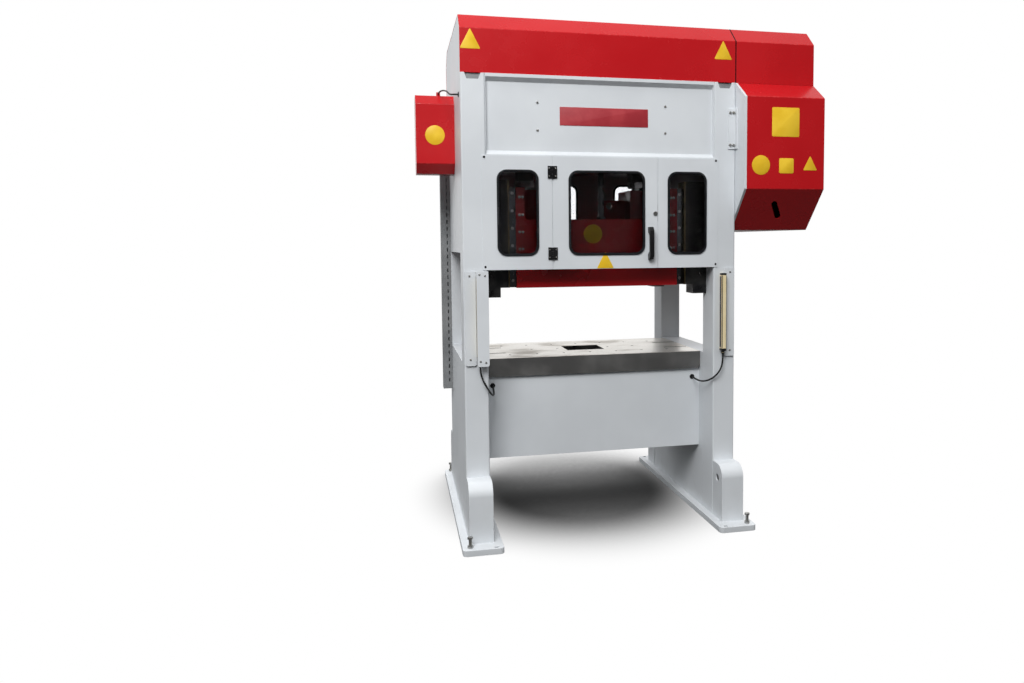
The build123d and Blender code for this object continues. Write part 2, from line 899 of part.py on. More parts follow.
def counterbalance_rods():
    top = crown_floor_top + counterbalance_height - counterbalance_rod_headroom
    rods = []
    for side in (-1, 1):
        place = (side * counterbalance_x, -side * counterbalance_y)
        rod = bar_z(counterbalance_rod_radius, slide_top, top, *place)
        rod += hexagon(counterbalance_nut_width, slide_top, slide_top + counterbalance_nut_height, *place)
        rods.append(rod)
    return group(*rods)


# Sheet covers
def mitre(inset):
    """How much a 45 degree chamfer shortens when its outline is drawn in."""
    return inset * (2 - math.sqrt(2))


def cover_outline(inset):
    """The (y, z) outline of the top cover, drawn in by an inset and open below."""
    edge = -front - cover_setback - inset
    top = cover_top - inset
    bottom = frame_top - (1 if inset else 0)
    slope = cover_chamfer - mitre(inset)
    return [
        (-edge, bottom),
        (-edge, top - slope),
        (slope - edge, top),
        (edge - slope, top),
        (edge, top - slope),
        (edge, bottom),
    ]


def top_cover():
    x0 = -half_width
    x1 = half_width - cover_seam / 2
    return prism_x(cover_outline(0), x0, x1) - prism_x(cover_outline(sheet), x0 - 1, x1 + 1)


def cover_end_plate():
    edge = -front - cover_setback - sheet
    outline = cover_outline(sheet)[1:-1] + [(edge, frame_top), (-edge, frame_top)]
    x0 = cover_end_inset - half_width
    return prism_x(outline, x0, x0 + cover_end_thickness)


def cover_extension():
    x0 = half_width + cover_seam / 2
    x1 = half_width + drive_width
    shell = prism_x(cover_outline(0), x0, x1)
    return shell - prism_x(cover_outline(sheet), x0 - 1, x1 - sheet)


def drive_outline(inset):
    """The (y, z) outline of the drive housing, drawn in by an inset and open above."""
    side = -front + drive_reach
    foot = -front - drive_bottom_reach
    top = -front - cover_setback
    shoulder = shaft_height + drive_front_above_shaft
    knee = shaft_height - drive_front_below_shaft
    bottom = shaft_height - drive_below_shaft
    upper_lean = math.atan2(side - top, frame_top - shoulder)
    lower_lean = math.atan2(side - foot, knee - bottom)
    rim = inset / math.cos(upper_lean)
    rise = inset * math.tan(upper_lean / 2)
    drop = inset * math.tan(lower_lean / 2)
    shift = inset * math.tan((math.pi / 2 - lower_lean) / 2)
    open_end = frame_top + (1 if inset else 0)
    return [
        (rim - top, open_end),
        (inset - side, shoulder - rise),
        (inset - side, knee + drop),
        (shift - foot, bottom + inset),
        (foot - shift, bottom + inset),
        (side - inset, knee + drop),
        (side - inset, shoulder - rise),
        (top - rim, open_end),
    ]


def drive_guard():
    x0 = half_width + drive_plate_thickness
    x1 = half_width + drive_width
    shell = prism_x(drive_outline(0), x0, x1) - prism_x(drive_outline(sheet), x0 - 1, x1 - sheet)
    return shell - sight_slot()


def sight_slot():
    """The slanted slot through the lower slope of the housing."""
    start, end = [Vector(0, *point) for point in drive_outline(0)[2:4]]
    along = (end - start).normalized()
    outward = Vector(0, along.Z, -along.Y)
    lean = math.radians(sight_slot_lean)
    length_dir = Vector(math.cos(lean), along.Y * math.sin(lean), along.Z * math.sin(lean))
    centre = (start + end) / 2 + Vector(half_width + sight_slot_offset, 0, 0)
    plane = Plane(centre, x_dir=length_dir, z_dir=outward)
    return extrude(plane * SlotOverall(sight_slot_length, sight_slot_width), amount=4 * sheet, both=True)


def drive_mounting_plate():
    x0 = half_width
    quill_end = flywheel_start + flywheel_width - quill_end_gap
    plate = prism_x(drive_outline(0), x0, x0 + drive_plate_thickness)
    plate += bar_x(quill_radius, x0, quill_end, 0, shaft_height)
    plate -= bar_x(shaft_radius + quill_bore_gap, x0 - 1, quill_end + 1, 0, shaft_height)
    skin = front - drive_bracket_thickness
    low = shaft_height - drive_bracket_below_shaft
    high = shaft_height + drive_bracket_above_shaft
    plate += block(x0 - drive_bracket_width, x0, skin, front, low, high)
    return plate + block(x0 - drive_bracket_thickness, x0 + 1, front - drive_bracket_reach, skin, low, high)


def encoder_outline(inset):
    """The (y, z) outline of the cam housing, drawn in by an inset."""
    cut = encoder_cover_chamfer - mitre(inset)
    edge = encoder_cover_depth / 2 - inset
    low = encoder_cover_bottom + inset
    top = encoder_cover_top - inset
    return [
        (-edge, low + cut),
        (-edge, top - cut),
        (cut - edge, top),
        (edge - cut, top),
        (edge, top - cut),
        (edge, low + cut),
        (edge - cut, low),
        (cut - edge, low),
    ]


def encoder_cover():
    x0 = -half_width - encoder_cover_width
    shell = prism_x(encoder_outline(0), x0, -half_width)
    shell -= prism_x(encoder_outline(sheet), x0 + sheet, 1 - half_width)
    half = encoder_elbow_width / 2
    reach = encoder_elbow_length / 2
    top = encoder_cable_height + half
    elbow = block(encoder_elbow_x - half, encoder_elbow_x + half, -reach, reach, encoder_cover_top, top)
    return shell + fillet(elbow.edges().group_by(Axis.Z)[-1], encoder_elbow_radius)


# Flywheel, clutch, motor and belts
def grooves(radius, y, z):
    """Ring-shaped cutters for the belt grooves."""
    cutters = []
    for index in range(groove_count):
        middle = flywheel_start + groove_start + index * groove_pitch
        profile = Polyline(
            (middle - groove_top_width / 2, radius + 1),
            (middle - groove_bottom_width / 2, radius - groove_depth),
            (middle + groove_bottom_width / 2, radius - groove_depth),
            (middle + groove_top_width / 2, radius + 1),
            close=True,
        )
        cutters.append(Pos(0, y, z) * revolve(make_face(profile), axis=Axis.X))
    return cutters


def flywheel():
    x0 = flywheel_start
    x1 = flywheel_start + flywheel_width
    hub_x0 = x0 + flywheel_hub_setback
    hub_x1 = x1 - flywheel_hub_setback
    web_x0 = x0 + flywheel_web_start
    web_x1 = web_x0 + flywheel_web
    bore = quill_radius + running_gap
    web_root = flywheel_hub_radius + flywheel_hub_setback
    rim = flywheel_radius - flywheel_rim
    profile = Polyline(
        (hub_x0, bore),
        (hub_x0, flywheel_hub_radius),
        (web_x0, web_root),
        (web_x0, rim),
        (x0, rim),
        (x0, flywheel_radius),
        (x1, flywheel_radius),
        (x1, rim),
        (web_x1, rim),
        (web_x1, web_root),
        (hub_x1, flywheel_hub_radius),
        (hub_x1, bore),
        close=True,
    )
    wheel = Pos(0, 0, shaft_height) * revolve(make_face(profile), axis=Axis.X)
    return wheel - grooves(flywheel_radius, 0, shaft_height)


def clutch_brake():
    x0 = clutch_start
    x1 = x0 + clutch_width
    cover_start = x0 + clutch_drum_width
    boss_start = cover_start + clutch_cover_width
    drum = bar_x(clutch_radius, x0, cover_start, 0, shaft_height)
    drum += bar_x(clutch_cover_radius, cover_start, boss_start, 0, shaft_height)
    drum += bar_x(clutch_boss_radius, boss_start, x1, 0, shaft_height)
    for step in range(clutch_bolt_count):
        angle = 2 * math.pi * (step + 0.5) / clutch_bolt_count
        y = clutch_bolt_circle * math.cos(angle)
        z = shaft_height + clutch_bolt_circle * math.sin(angle)
        drum += bar_x(clutch_bolt_radius, boss_start, boss_start + clutch_bolt_height, y, z)
    return drum - bar_x(shaft_radius, x0 - 1, x1 + 1, 0, shaft_height)


def motor_axis():
    return motor_offset_y, motor_base_top + motor_height


def drive_motor():
    y, z = motor_axis()
    right = half_width - motor_inset
    left = right - motor_length
    barrel = motor_radius - motor_fin_height + 6
    body = bar_x(barrel, left, right, y, z)
    fin = Box(motor_length - motor_cowl_length, motor_fin_thickness, motor_fin_height)
    fin_radius = motor_radius - motor_fin_height / 2
    for step in range(motor_fin_count):
        turn = Rot(360 / motor_fin_count * step, 0, 0)
        body += Pos(0, y, z) * turn * Pos((left + right) / 2, 0, fin_radius) * fin
    body += bar_x(motor_radius - 2, right - motor_flange_width, right, y, z)
    cowl_start = left - motor_cowl_overhang
    body += bar_x(motor_radius, cowl_start, cowl_start + motor_cowl_length, y, z)
    foot_x0 = left + motor_foot_margin + 10
    foot_x1 = right - motor_foot_margin + 10
    foot_top = motor_base_top + motor_foot_thickness
    for way in (-1, 1):
        inner = y + way * motor_foot_inner
        foot_y = sorted((inner, y + way * motor_foot_outer))
        body += block(foot_x0, foot_x1, *foot_y, motor_base_top, foot_top)
        rib_y = sorted((inner, inner + way * motor_foot_web))
        body += block(foot_x0 + 20, foot_x1 - 20, *rib_y, motor_base_top, z)
    box_x = (left + right) / 2
    box_half = (motor_length - 4 * motor_foot_margin + 20) / 2
    box_y = (y - motor_box_half, y + motor_box_half)
    box_z = (z + motor_radius - 20, z + motor_radius + motor_box_height)
    body += block(box_x - box_half, box_x + box_half, *box_y, *box_z)
    rail_end = -front - cover_setback - sheet - motor_base_gap
    rail_start = y - motor_base_half_depth
    return body + block(foot_x0 - 10, foot_x1 + 10, rail_start, rail_end, frame_top, motor_base_top)


def motor_pulley():
    y, z = motor_axis()
    groove_span = (groove_count - 1) * groove_pitch
    x0 = flywheel_start + groove_start - (pulley_width - groove_span) / 2
    pulley = bar_x(pulley_radius, x0, x0 + pulley_width, y, z)
    pulley -= grooves(pulley_radius, y, z)
    shaft_start = half_width - motor_inset + motor_shaft_gap
    return pulley + bar_x(motor_shaft_radius, shaft_start, x0 + 1, y, z)


def vee_belts():
    y, z = motor_axis()
    low = Vector(0, 0, shaft_height)
    high = Vector(0, y, z)
    span = (high - low).length
    lean = math.degrees(math.atan2(y, z - shaft_height))
    big = flywheel_radius + belt_gap
    small = pulley_radius + belt_gap
    spread = math.acos((big - small) / span)
    outer = belt_rise
    inner = belt_rise + belt_gap - belt_thickness
    half = groove_bottom_width / 2 - belt_side_gap
    belts = []
    for index in range(groove_count):
        middle = flywheel_start + groove_start + index * groove_pitch
        ring = make_face(belt_outline(big + outer, small + outer, span, spread))
        ring -= make_face(belt_outline(big + inner, small + inner, span, spread))
        belt = extrude(ring, amount=half, both=True)
        belt_plane = Plane((middle, 0, shaft_height), x_dir=(0, 1, 0), z_dir=(1, 0, 0))
        belts.append(belt_plane * Rot(0, 0, 90 - lean) * belt)
    return group(*belts)


def belt_outline(big, small, span, spread):
    """A loop round a large circle at the start and a small one at the end of the local X axis."""
    big_top = (big * math.cos(spread), big * math.sin(spread))
    big_low = (big * math.cos(spread), -big * math.sin(spread))
    small_top = (span + small * math.cos(spread), small * math.sin(spread))
    small_low = (span + small * math.cos(spread), -small * math.sin(spread))
    round_big = ThreePointArc(big_top, (-big, 0), big_low)
    round_small = ThreePointArc(small_low, (span + small, 0), small_top)
    return Wire([round_big, Line(big_low, small_low), round_small, Line(small_top, big_top)])


# Position cams on the left end of the shaft, with their switches
def cam_places():
    return [-half_width - cam_start - index * cam_pitch for index in range(cam_count)]


def timing_cams():
    half = cam_notch_width / 2
    notch_floor = shaft_height + cam_radius - cam_notch_depth
    cams = []
    for index, x in enumerate(cam_places()):
        cam = bar_x(cam_radius, x - cam_thickness, x, 0, shaft_height)
        cam -= bar_x(cam_shaft_radius, x - cam_thickness - 1, x + 1, 0, shaft_height)
        notch = block(x - cam_thickness - 1, x + 1, -half, half, notch_floor, shaft_height + cam_radius + 6)
        turn = Rot(cam_first_angle + index * cam_angle_step, 0, 0)
        cams.append(cam - Pos(0, 0, shaft_height) * turn * Pos(0, 0, -shaft_height) * notch)
    return group(*cams)


def cam_switches():
    top = shaft_height - switch_top_drop
    bottom = top - switch_height
    half = switch_depth / 2
    plunger_top = shaft_height - cam_radius - switch_plunger_gap
    switches = []
    for x in cam_places():
        body = block(x + 1 - switch_thickness, x + 1, -half, half, bottom, top)
        body += bar_z(switch_plunger_radius, top - 1, plunger_top, x - cam_thickness / 2, 0)
        switches.append(body)
    half = switch_bracket_depth / 2
    low = bottom - switch_bracket_thickness
    bracket = block(-half_width - switch_bracket_reach, -half_width, -half, half, low, bottom)
    return group(*switches, bracket)


# Guards: sheet panels with folded edges and rubber-framed windows
def guard_panel(x0, x1, fold_left, fold_right):
    skin = block(x0, x1, front - sheet, front, guard_bottom, guard_top)
    fold_top = crown_bottom - guard_flange_gap
    fold_y = (front - 1, front + guard_flange)
    if fold_left:
        skin += block(x0, x0 + sheet, *fold_y, guard_bottom, fold_top)
    if fold_right:
        skin += block(x1 - sheet, x1, *fold_y, guard_bottom, fold_top)
    left = max(x0, guard_flange_gap - inner_half)
    right = min(x1, inner_half - guard_flange_gap)
    return skin + block(left, right, *fold_y, guard_bottom, guard_bottom + sheet)


def keeper_slot():
    """The slot through both folds beside the door's seam, where the tongue of the lock swings."""
    half = lock_tongue_width / 2
    high = lock_height + math.hypot(lock_tongue_length, half) + lock_tongue_gap
    low = lock_height - half - lock_tongue_gap
    y0 = front + lock_tongue_setback - lock_tongue_gap
    y1 = front + lock_tongue_setback + lock_tongue_thickness + lock_tongue_gap
    return block(door_right - 2 * sheet, door_right + 2 * sheet, y0, y1, low, high)


def window_shape(x0, x1, inset, y0, y1):
    """The window's round-cornered outline, drawn in by an inset, from one depth to another."""
    low = window_low + inset
    high = window_high - inset
    return rounded_slot_y(x0 + inset, x1 - inset, low, high, y0, y1, window_radius - inset)


def window_hole(x0, x1):
    return window_shape(x0, x1, gasket_lip / 2, front - sheet - 1, front + 1)


def gasket(x0, x1):
    """A rubber frame with a groove that grips the edge of the sheet."""
    outside = front - sheet - gasket_proud
    inside = front + gasket_proud
    ring = window_shape(x0, x1, 0, outside, inside)
    ring -= window_shape(x0, x1, gasket_lip, outside - 1, inside + 1)
    groove = window_shape(x0, x1, 0, front - sheet, front)
    return ring - (groove - window_shape(x0, x1, gasket_lip / 2, front - sheet, front))


def pane(x0, x1):
    back = front - sheet / 2 + pane_thickness / 2
    return window_shape(x0, x1, gasket_lip, back - pane_thickness, back)


def guard_left_panel():
    panel = guard_panel(-inner_half - guard_overlap, door_left - guard_seam / 2, False, True)
    return panel - window_hole(*left_window)


def guard_right_panel():
    panel = guard_panel(door_right + guard_seam / 2, inner_half + guard_overlap, True, False)
    return panel - window_hole(*right_window) - keeper_slot()


def guard_door():
    panel = guard_panel(door_left + guard_seam / 2, door_right - guard_seam / 2, False, True)
    panel -= window_hole(*door_window)
    lock_x = door_right - lock_from_right
    panel -= bar_y(lock_barrel_hole_radius, front - sheet - 1, front + 1, lock_x, lock_height)
    return panel - keeper_slot()


def rear_windows():
    places = []
    for step in (-1, 0, 1):
        middle = step * (inner_half - rear_window_inset)
        places.append((middle - rear_window_width / 2, middle + rear_window_width / 2))
    return places


def rear_guard():
    side = inner_half + guard_overlap
    panel = guard_panel(-side, side, False, False)
    for window in rear_windows():
        panel -= window_hole(*window)
    return rear_of(panel)


def fixed_gaskets():
    parts = [gasket(*left_window), gasket(*right_window)]
    parts += [rear_of(gasket(*window)) for window in rear_windows()]
    return group(*parts)


def fixed_panes():
    parts = [pane(*left_window), pane(*right_window)]
    parts += [rear_of(pane(*window)) for window in rear_windows()]
    return group(*parts)


# Door hinges: the pin stands just proud of the seam
def hinge_heights():
    return (guard_bottom + hinge_inset, guard_top - hinge_inset)


def hinge_axis():
    return door_left, front - sheet - hinge_knuckle_radius


def hinge_leaf_at(z, way, low, high):
    """One leaf, with its knuckle between two heights. The way is -1 to the left and 1 to the right."""
    x, y = hinge_axis()
    half = hinge_height / 2
    outside = front - sheet - hinge_leaf_thickness
    skin = front - sheet
    ends = sorted((x + way * (hinge_knuckle_radius - 1), x + way * hinge_leaf))
    leaf = block(*ends, outside, skin, z - half, z + half)
    leaf -= bar_z(hinge_knuckle_radius + hinge_gap, z - half - 1, z + half + 1, x, y)
    root = sorted((x, x + way * (hinge_knuckle_radius + 2)))
    leaf += block(*root, outside, skin, low + hinge_gap / 2, high - hinge_gap / 2)
    leaf += bar_z(hinge_knuckle_radius, low + hinge_gap / 2, high - hinge_gap / 2, x, y)
    return leaf - bar_z(hinge_knuckle_radius / 2, z - half - 1, z + half + 1, x, y)


def hinge_leaves_fixed():
    third = hinge_height / 6
    parts = []
    for z in hinge_heights():
        upper = hinge_leaf_at(z, -1, z + third, z + hinge_height / 2)
        lower = hinge_leaf_at(z, -1, z - hinge_height / 2, z - third)
        parts.append(upper + lower)
    return group(*parts)


def hinge_leaves_door():
    third = hinge_height / 6
    parts = [hinge_leaf_at(z, 1, z - third, z + third) for z in hinge_heights()]
    return group(*parts)


def hinge_pins():
    radius = hinge_knuckle_radius / 2 - running_gap
    half = hinge_height / 2
    return group(*[bar_z(radius, z - half, z + half, *hinge_axis()) for z in hinge_heights()])


def door_handle():
    x = door_right - handle_from_right
    middle = guard_bottom + handle_rise
    half = handle_height / 2
    skin = front - sheet
    outer = skin - handle_stand
    grip = outer + handle_bar_thickness
    foot = half - handle_foot_height
    bend = foot - handle_foot_slope
    slope_start = outer + handle_foot_slope
    slope_end = half - handle_end_slope
    outline = [
        (skin, middle - half),
        (skin, middle - foot),
        (grip, middle - bend),
        (grip, middle + bend),
        (skin, middle + foot),
        (skin, middle + half),
        (slope_start, middle + half),
        (outer, middle + slope_end),
        (outer, middle - slope_end),
        (slope_start, middle - half),
    ]
    handle = prism_x(outline, x - handle_bar_width / 2, x + handle_bar_width / 2)
    return fillet(handle.edges().filter_by(Axis.X).group_by(Axis.Y)[0], handle_edge_radius)


def door_lock():
    """A barrel with a screwdriver slot outside and a tongue inside."""
    x = door_right - lock_from_right
    skin = front - sheet
    head_face = skin - lock_head_height
    lock = bar_y(lock_radius, head_face, skin, x, lock_height)
    lock += bar_y(lock_barrel_radius, skin - 1, front + lock_barrel_reach, x, lock_height)
    slot_x = lock_slot_width / 2
    slot_z = lock_slot_length / 2
    slot_y = (head_face - 1, head_face + lock_slot_depth)
    lock -= block(x - slot_x, x + slot_x, *slot_y, lock_height - slot_z, lock_height + slot_z)
    half = lock_tongue_width / 2
    y0 = front + lock_tongue_setback
    y1 = y0 + lock_tongue_thickness
    return lock + block(x - half, x + half, y0, y1, lock_height - half, lock_height + lock_tongue_length)


# Light curtains at the four corners of the die space
def light_curtain(side):
    x0, x1 = sorted((side * curtain_edge, side * (curtain_edge + curtain_width)))
    y1 = front - curtain_plate_depth
    y0 = y1 - curtain_depth
    bar = block(x0, x1, y0, y1, curtain_bottom, curtain_top)
    bar = chamfer(bar.edges().filter_by(Axis.Z), curtain_edge_chamfer)
    inset = curtain_edge_chamfer
    cap_bottom = curtain_bottom - curtain_end_cap
    bar += block(x0 + inset, x1 - inset, y0 + inset, y1 - inset, cap_bottom, curtain_top + curtain_cap_rise)
    gland_bottom = cap_bottom - curtain_gland_length
    bar += bar_z(curtain_gland_radius, gland_bottom, cap_bottom + 1, (x0 + x1) / 2, (y0 + y1) / 2)
    clip_x = (x0 + curtain_clip_inset, x1 - curtain_clip_inset)
    for low in (curtain_bottom - curtain_clip_low, curtain_top - curtain_clip_height + curtain_clip_low):
        bar += block(*clip_x, y1 - 1, front, low, low + curtain_clip_height)
    return bar


def curtain_cover(side):
    """A folded plate beside the bar. On the left a second one stands in front of it."""
    bottom, top = curtain_cover_bottom, curtain_cover_top
    inner = side * curtain_plate_inner
    outer = side * (curtain_plate_inner + curtain_cover_width)
    skin = front - curtain_plate_depth
    plate = block(*sorted((inner, outer)), skin, skin + sheet, bottom, top)
    plate = fillet(plate.edges().filter_by(Axis.Y).group_by(Axis.Z)[0], curtain_cover_radius)
    flange_z = (bottom + curtain_flange_start, top - curtain_flange_end)
    for edge in (sorted((inner, inner + side * sheet)), sorted((outer - side * sheet, outer))):
        plate += block(*edge, skin + 1, front, *flange_z)
    if side < 0:
        plate += front_shield()
    return plate


def front_shield():
    bottom, top = curtain_cover_bottom, curtain_cover_top
    face = front - curtain_cover_depth - sheet
    shield = block(-curtain_plate_inner, -inner_half, face - sheet, face, bottom, top)
    shield = fillet(shield.edges().filter_by(Axis.Y).group_by(Axis.Z)[0], curtain_cover_radius)
    return shield + block(-inner_half - sheet, -inner_half, face - 1, front, bottom + curtain_flange_start, top)


def light_curtains():
    front_bars = [light_curtain(side) for side in (-1, 1)]
    return group(*front_bars, *[rear_of(bar) for bar in front_bars])


def curtain_covers():
    front_covers = [curtain_cover(side) for side in (-1, 1)]
    return group(*front_covers, *[rear_of(cover) for cover in front_covers])


def cable_duct():
    x1 = -half_width
    x0 = x1 - duct_width
    y0 = -column_back
    y1 = y0 + duct_depth
    top = crown_bottom + duct_above_crown
    wall = duct_wall
    duct = block(x0, x1, y0, y1, duct_bottom, top)
    duct -= block(x0 + wall, x1 - wall, y0 + wall, y1 - wall, duct_bottom + wall, top - wall)
    slot_x = x1 - duct_slot_from_column
    count = int((top - duct_bottom - 1.5 * duct_slot_margin) / duct_slot_pitch)
    for index in range(count):
        z = duct_bottom + duct_slot_margin + index * duct_slot_pitch
        duct -= block(slot_x, slot_x + duct_slot_width, y0 - 1, y0 + wall + 1, z, z + duct_slot_height)
    return duct


# Cables: straight runs joined by the largest arcs that the runs allow
def cord(points, diameter):
    radii = []
    for before, corner, after in zip(points, points[1:], points[2:]):
        arriving = Vector(*corner) - Vector(*before)
        leaving = Vector(*after) - Vector(*corner)
        half_turn = math.radians(arriving.get_angle(leaving)) / 2
        radii.append(0.45 * min(arriving.length, leaving.length) / math.tan(half_turn))
    print("radii", [round(radius) for radius in radii])
    path = FilletPolyline(*points, radius=radii)
    section = Plane(origin=path @ 0, z_dir=path % 0) * Circle(diameter / 2)
    tube = sweep(section, path=path)
    ratio = tube.volume / section.area / path.length
    print("length", round(path.length), "volume ratio", round(ratio, 3))
    return tube


def curtain_cable_right():
    gland_bottom = curtain_bottom - curtain_end_cap - curtain_gland_length
    points = [
        (626, -510, gland_bottom),
        (626, -510, 842),
        (615, -512, 800),
        (590, -509, 767),
        (568, -489, 744),
        (553, -449, 729),
        (546, -401, 722),
        (542.5, -350, 723),
        (542, -304, 727),
        (542, -268, 728),
    ]
    return cord(points, curtain_cable_diameter)


def curtain_cable_left():
    gland_bottom = curtain_bottom - curtain_end_cap - curtain_gland_length
    points = [
        (-626, -510, gland_bottom),
        (-626, -510, 844),
        (-609, -512, 804),
        (-588, -509, 766),
        (-572, -489, 735),
        (-559, -450, 714),
        (-550, -402, 707),
        (-545, -355, 711),
        (-542, -308, 722),
        (-542, -268, 728),
    ]
    return cord(points, curtain_cable_diameter)


def encoder_cable():
    points = [
        (encoder_elbow_x, -encoder_elbow_length / 2, encoder_cable_height),
        (encoder_elbow_x, -60, encoder_cable_height),
        (-763, -122, 2243),
        (-751, -186, 2231),
        (-744, -252, 2213),
        (-741, -312, 2194),
        (-737, -354, 2183),
        (-728, -382, 2178),
        (-712, -396, 2176.5),
        (-693, -398, 2176),
    ]
    return cord(points, encoder_cable_diameter)


gib, liner = gib_and_liner()
nodes = {
    "foot_right": foot(),
    "foot_left": left_of(foot()),
    "column_front_right": column(),
    "column_front_left": column_with_cable_hole(),
    "column_rear_right": rear_of(column()),
    "column_rear_left": left_of(rear_of(column())),
    "side_walls_right": side_walls(),
    "side_walls_left": left_of(side_walls()),
    "bed_front_plate": bed_plate(),
    "bed_rear_plate": rear_of(bed_plate()),
    "bed_ribs": bed_ribs(),
    "bolster": bolster(),
    "crown_front": crown_plate(),
    "crown_rear": rear_of(crown_plate()),
    "crown_floor": crown_floor(),
    "bearing_plates": bearing_plates(),
    "main_bushes": main_bushes(),
    "crankshaft": crankshaft(),
    "connecting_rod_left": connecting_rod(-1),
    "connecting_rod_right": connecting_rod(1),
    "ball_screws": ball_screws(),
    "slide_body": slide_body(),
    "slide_guide_bars": at_corners(guide_bar()),
    "gib_blocks": at_corners(gib),
    "gib_liners": at_corners(liner),
    "counterbalance_cylinders": counterbalance_cylinders(),
    "counterbalance_rods": counterbalance_rods(),
    "top_cover": top_cover(),
    "cover_end_plate": cover_end_plate(),
    "cover_extension": cover_extension(),
    "drive_guard": drive_guard(),
    "drive_mounting_plate": drive_mounting_plate(),
    "encoder_cover": encoder_cover(),
    "flywheel": flywheel(),
    "clutch_brake": clutch_brake(),
    "drive_motor": drive_motor(),
    "motor_pulley": motor_pulley(),
    "vee_belts": vee_belts(),
    "timing_cams": timing_cams(),
    "cam_switches": cam_switches(),
    "guard_left_panel": guard_left_panel(),
    "guard_right_panel": guard_right_panel(),
    "guard_door": guard_door(),
    "rear_guard": rear_guard(),
    "fixed_gaskets": fixed_gaskets(),
    "door_gasket": gasket(*door_window),
    "fixed_panes": fixed_panes(),
    "door_pane": pane(*door_window),
    "hinge_leaves_fixed": hinge_leaves_fixed(),
    "hinge_leaves_door": hinge_leaves_door(),
    "hinge_pins": hinge_pins(),
    "door_handle": door_handle(),
    "door_lock": door_lock(),
    "light_curtains": light_curtains(),
    "curtain_covers": curtain_covers(),
    "level_bolts": level_bolts(),
    "cable_duct": cable_duct(),
    "curtain_cable_right": curtain_cable_right(),
    "curtain_cable_left": curtain_cable_left(),
    "encoder_cable": encoder_cable(),
}

os.makedirs("parts", exist_ok=True)
for name, shape in nodes.items():
    export_step(shape, "parts/" + name + ".step")
    print(name, round(shape.volume))
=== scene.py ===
import json
import math

import bmesh
import bpy
from mathutils import Matrix, Vector

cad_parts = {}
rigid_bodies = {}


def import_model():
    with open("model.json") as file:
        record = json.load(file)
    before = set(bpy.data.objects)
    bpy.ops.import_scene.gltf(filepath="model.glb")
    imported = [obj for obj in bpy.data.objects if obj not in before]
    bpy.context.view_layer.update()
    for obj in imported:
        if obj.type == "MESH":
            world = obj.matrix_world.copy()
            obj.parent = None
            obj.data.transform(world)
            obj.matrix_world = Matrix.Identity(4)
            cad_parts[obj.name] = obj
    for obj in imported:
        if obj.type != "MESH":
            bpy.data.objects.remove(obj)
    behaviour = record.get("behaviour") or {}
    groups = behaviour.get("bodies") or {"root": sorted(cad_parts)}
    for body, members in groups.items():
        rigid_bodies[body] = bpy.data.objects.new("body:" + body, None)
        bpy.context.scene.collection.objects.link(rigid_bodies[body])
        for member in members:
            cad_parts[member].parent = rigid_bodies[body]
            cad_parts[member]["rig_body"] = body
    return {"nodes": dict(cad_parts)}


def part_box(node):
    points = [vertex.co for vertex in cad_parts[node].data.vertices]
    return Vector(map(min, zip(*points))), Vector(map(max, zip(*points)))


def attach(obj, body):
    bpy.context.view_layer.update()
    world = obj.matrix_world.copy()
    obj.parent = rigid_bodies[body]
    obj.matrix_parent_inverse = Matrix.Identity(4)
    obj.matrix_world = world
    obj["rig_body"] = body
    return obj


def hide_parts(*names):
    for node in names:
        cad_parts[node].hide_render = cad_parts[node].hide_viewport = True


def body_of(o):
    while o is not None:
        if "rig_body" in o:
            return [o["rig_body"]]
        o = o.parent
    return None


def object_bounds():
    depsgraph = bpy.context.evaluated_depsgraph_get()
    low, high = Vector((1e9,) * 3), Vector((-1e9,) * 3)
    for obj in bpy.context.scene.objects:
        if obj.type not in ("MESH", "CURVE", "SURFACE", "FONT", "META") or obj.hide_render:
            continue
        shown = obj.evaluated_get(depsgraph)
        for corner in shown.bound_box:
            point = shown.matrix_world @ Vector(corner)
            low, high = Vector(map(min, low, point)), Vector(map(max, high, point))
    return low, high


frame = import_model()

mm = 0.001  # one millimetre, in scene metres
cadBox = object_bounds()


# Shader helpers
def join(tree, value, entry):
    if isinstance(value, Wire):
        tree.links.new(value.socket, entry)
    else:
        entry.default_value = value


class Wire:
    # a node's output, so that maths on it reads as a plain expression
    def __init__(self, tree, socket):
        self.tree = tree
        self.socket = socket

    def maths(self, operation, first, second=0.0):
        made = self.tree.nodes.new("ShaderNodeMath")
        made.operation = operation
        join(self.tree, first, made.inputs[0])
        join(self.tree, second, made.inputs[1])
        return Wire(self.tree, made.outputs[0])

    def __add__(self, other):
        return self.maths("ADD", self, other)

    def __radd__(self, other):
        return self.maths("ADD", other, self)

    def __sub__(self, other):
        return self.maths("SUBTRACT", self, other)

    def __rsub__(self, other):
        return self.maths("SUBTRACT", other, self)

    def __mul__(self, other):
        return self.maths("MULTIPLY", self, other)

    def __rmul__(self, other):
        return self.maths("MULTIPLY", other, self)

    def most(self, other):
        return self.maths("MAXIMUM", self, other)

    def power(self, other):
        return self.maths("POWER", self, other)

    def between(self, low, high):
        # 0 below the low value, 1 above the high one, and soft in between
        made = self.tree.nodes.new("ShaderNodeMapRange")
        made.interpolation_type = "SMOOTHSTEP"
        join(self.tree, self, made.inputs["Value"])
        made.inputs["From Min"].default_value = low
        made.inputs["From Max"].default_value = high
        return Wire(self.tree, made.outputs[0])


def solid(colour):
    # a plain colour gets its alpha, and a wire stays as it is
    return colour if isinstance(colour, Wire) else (*colour, 1)


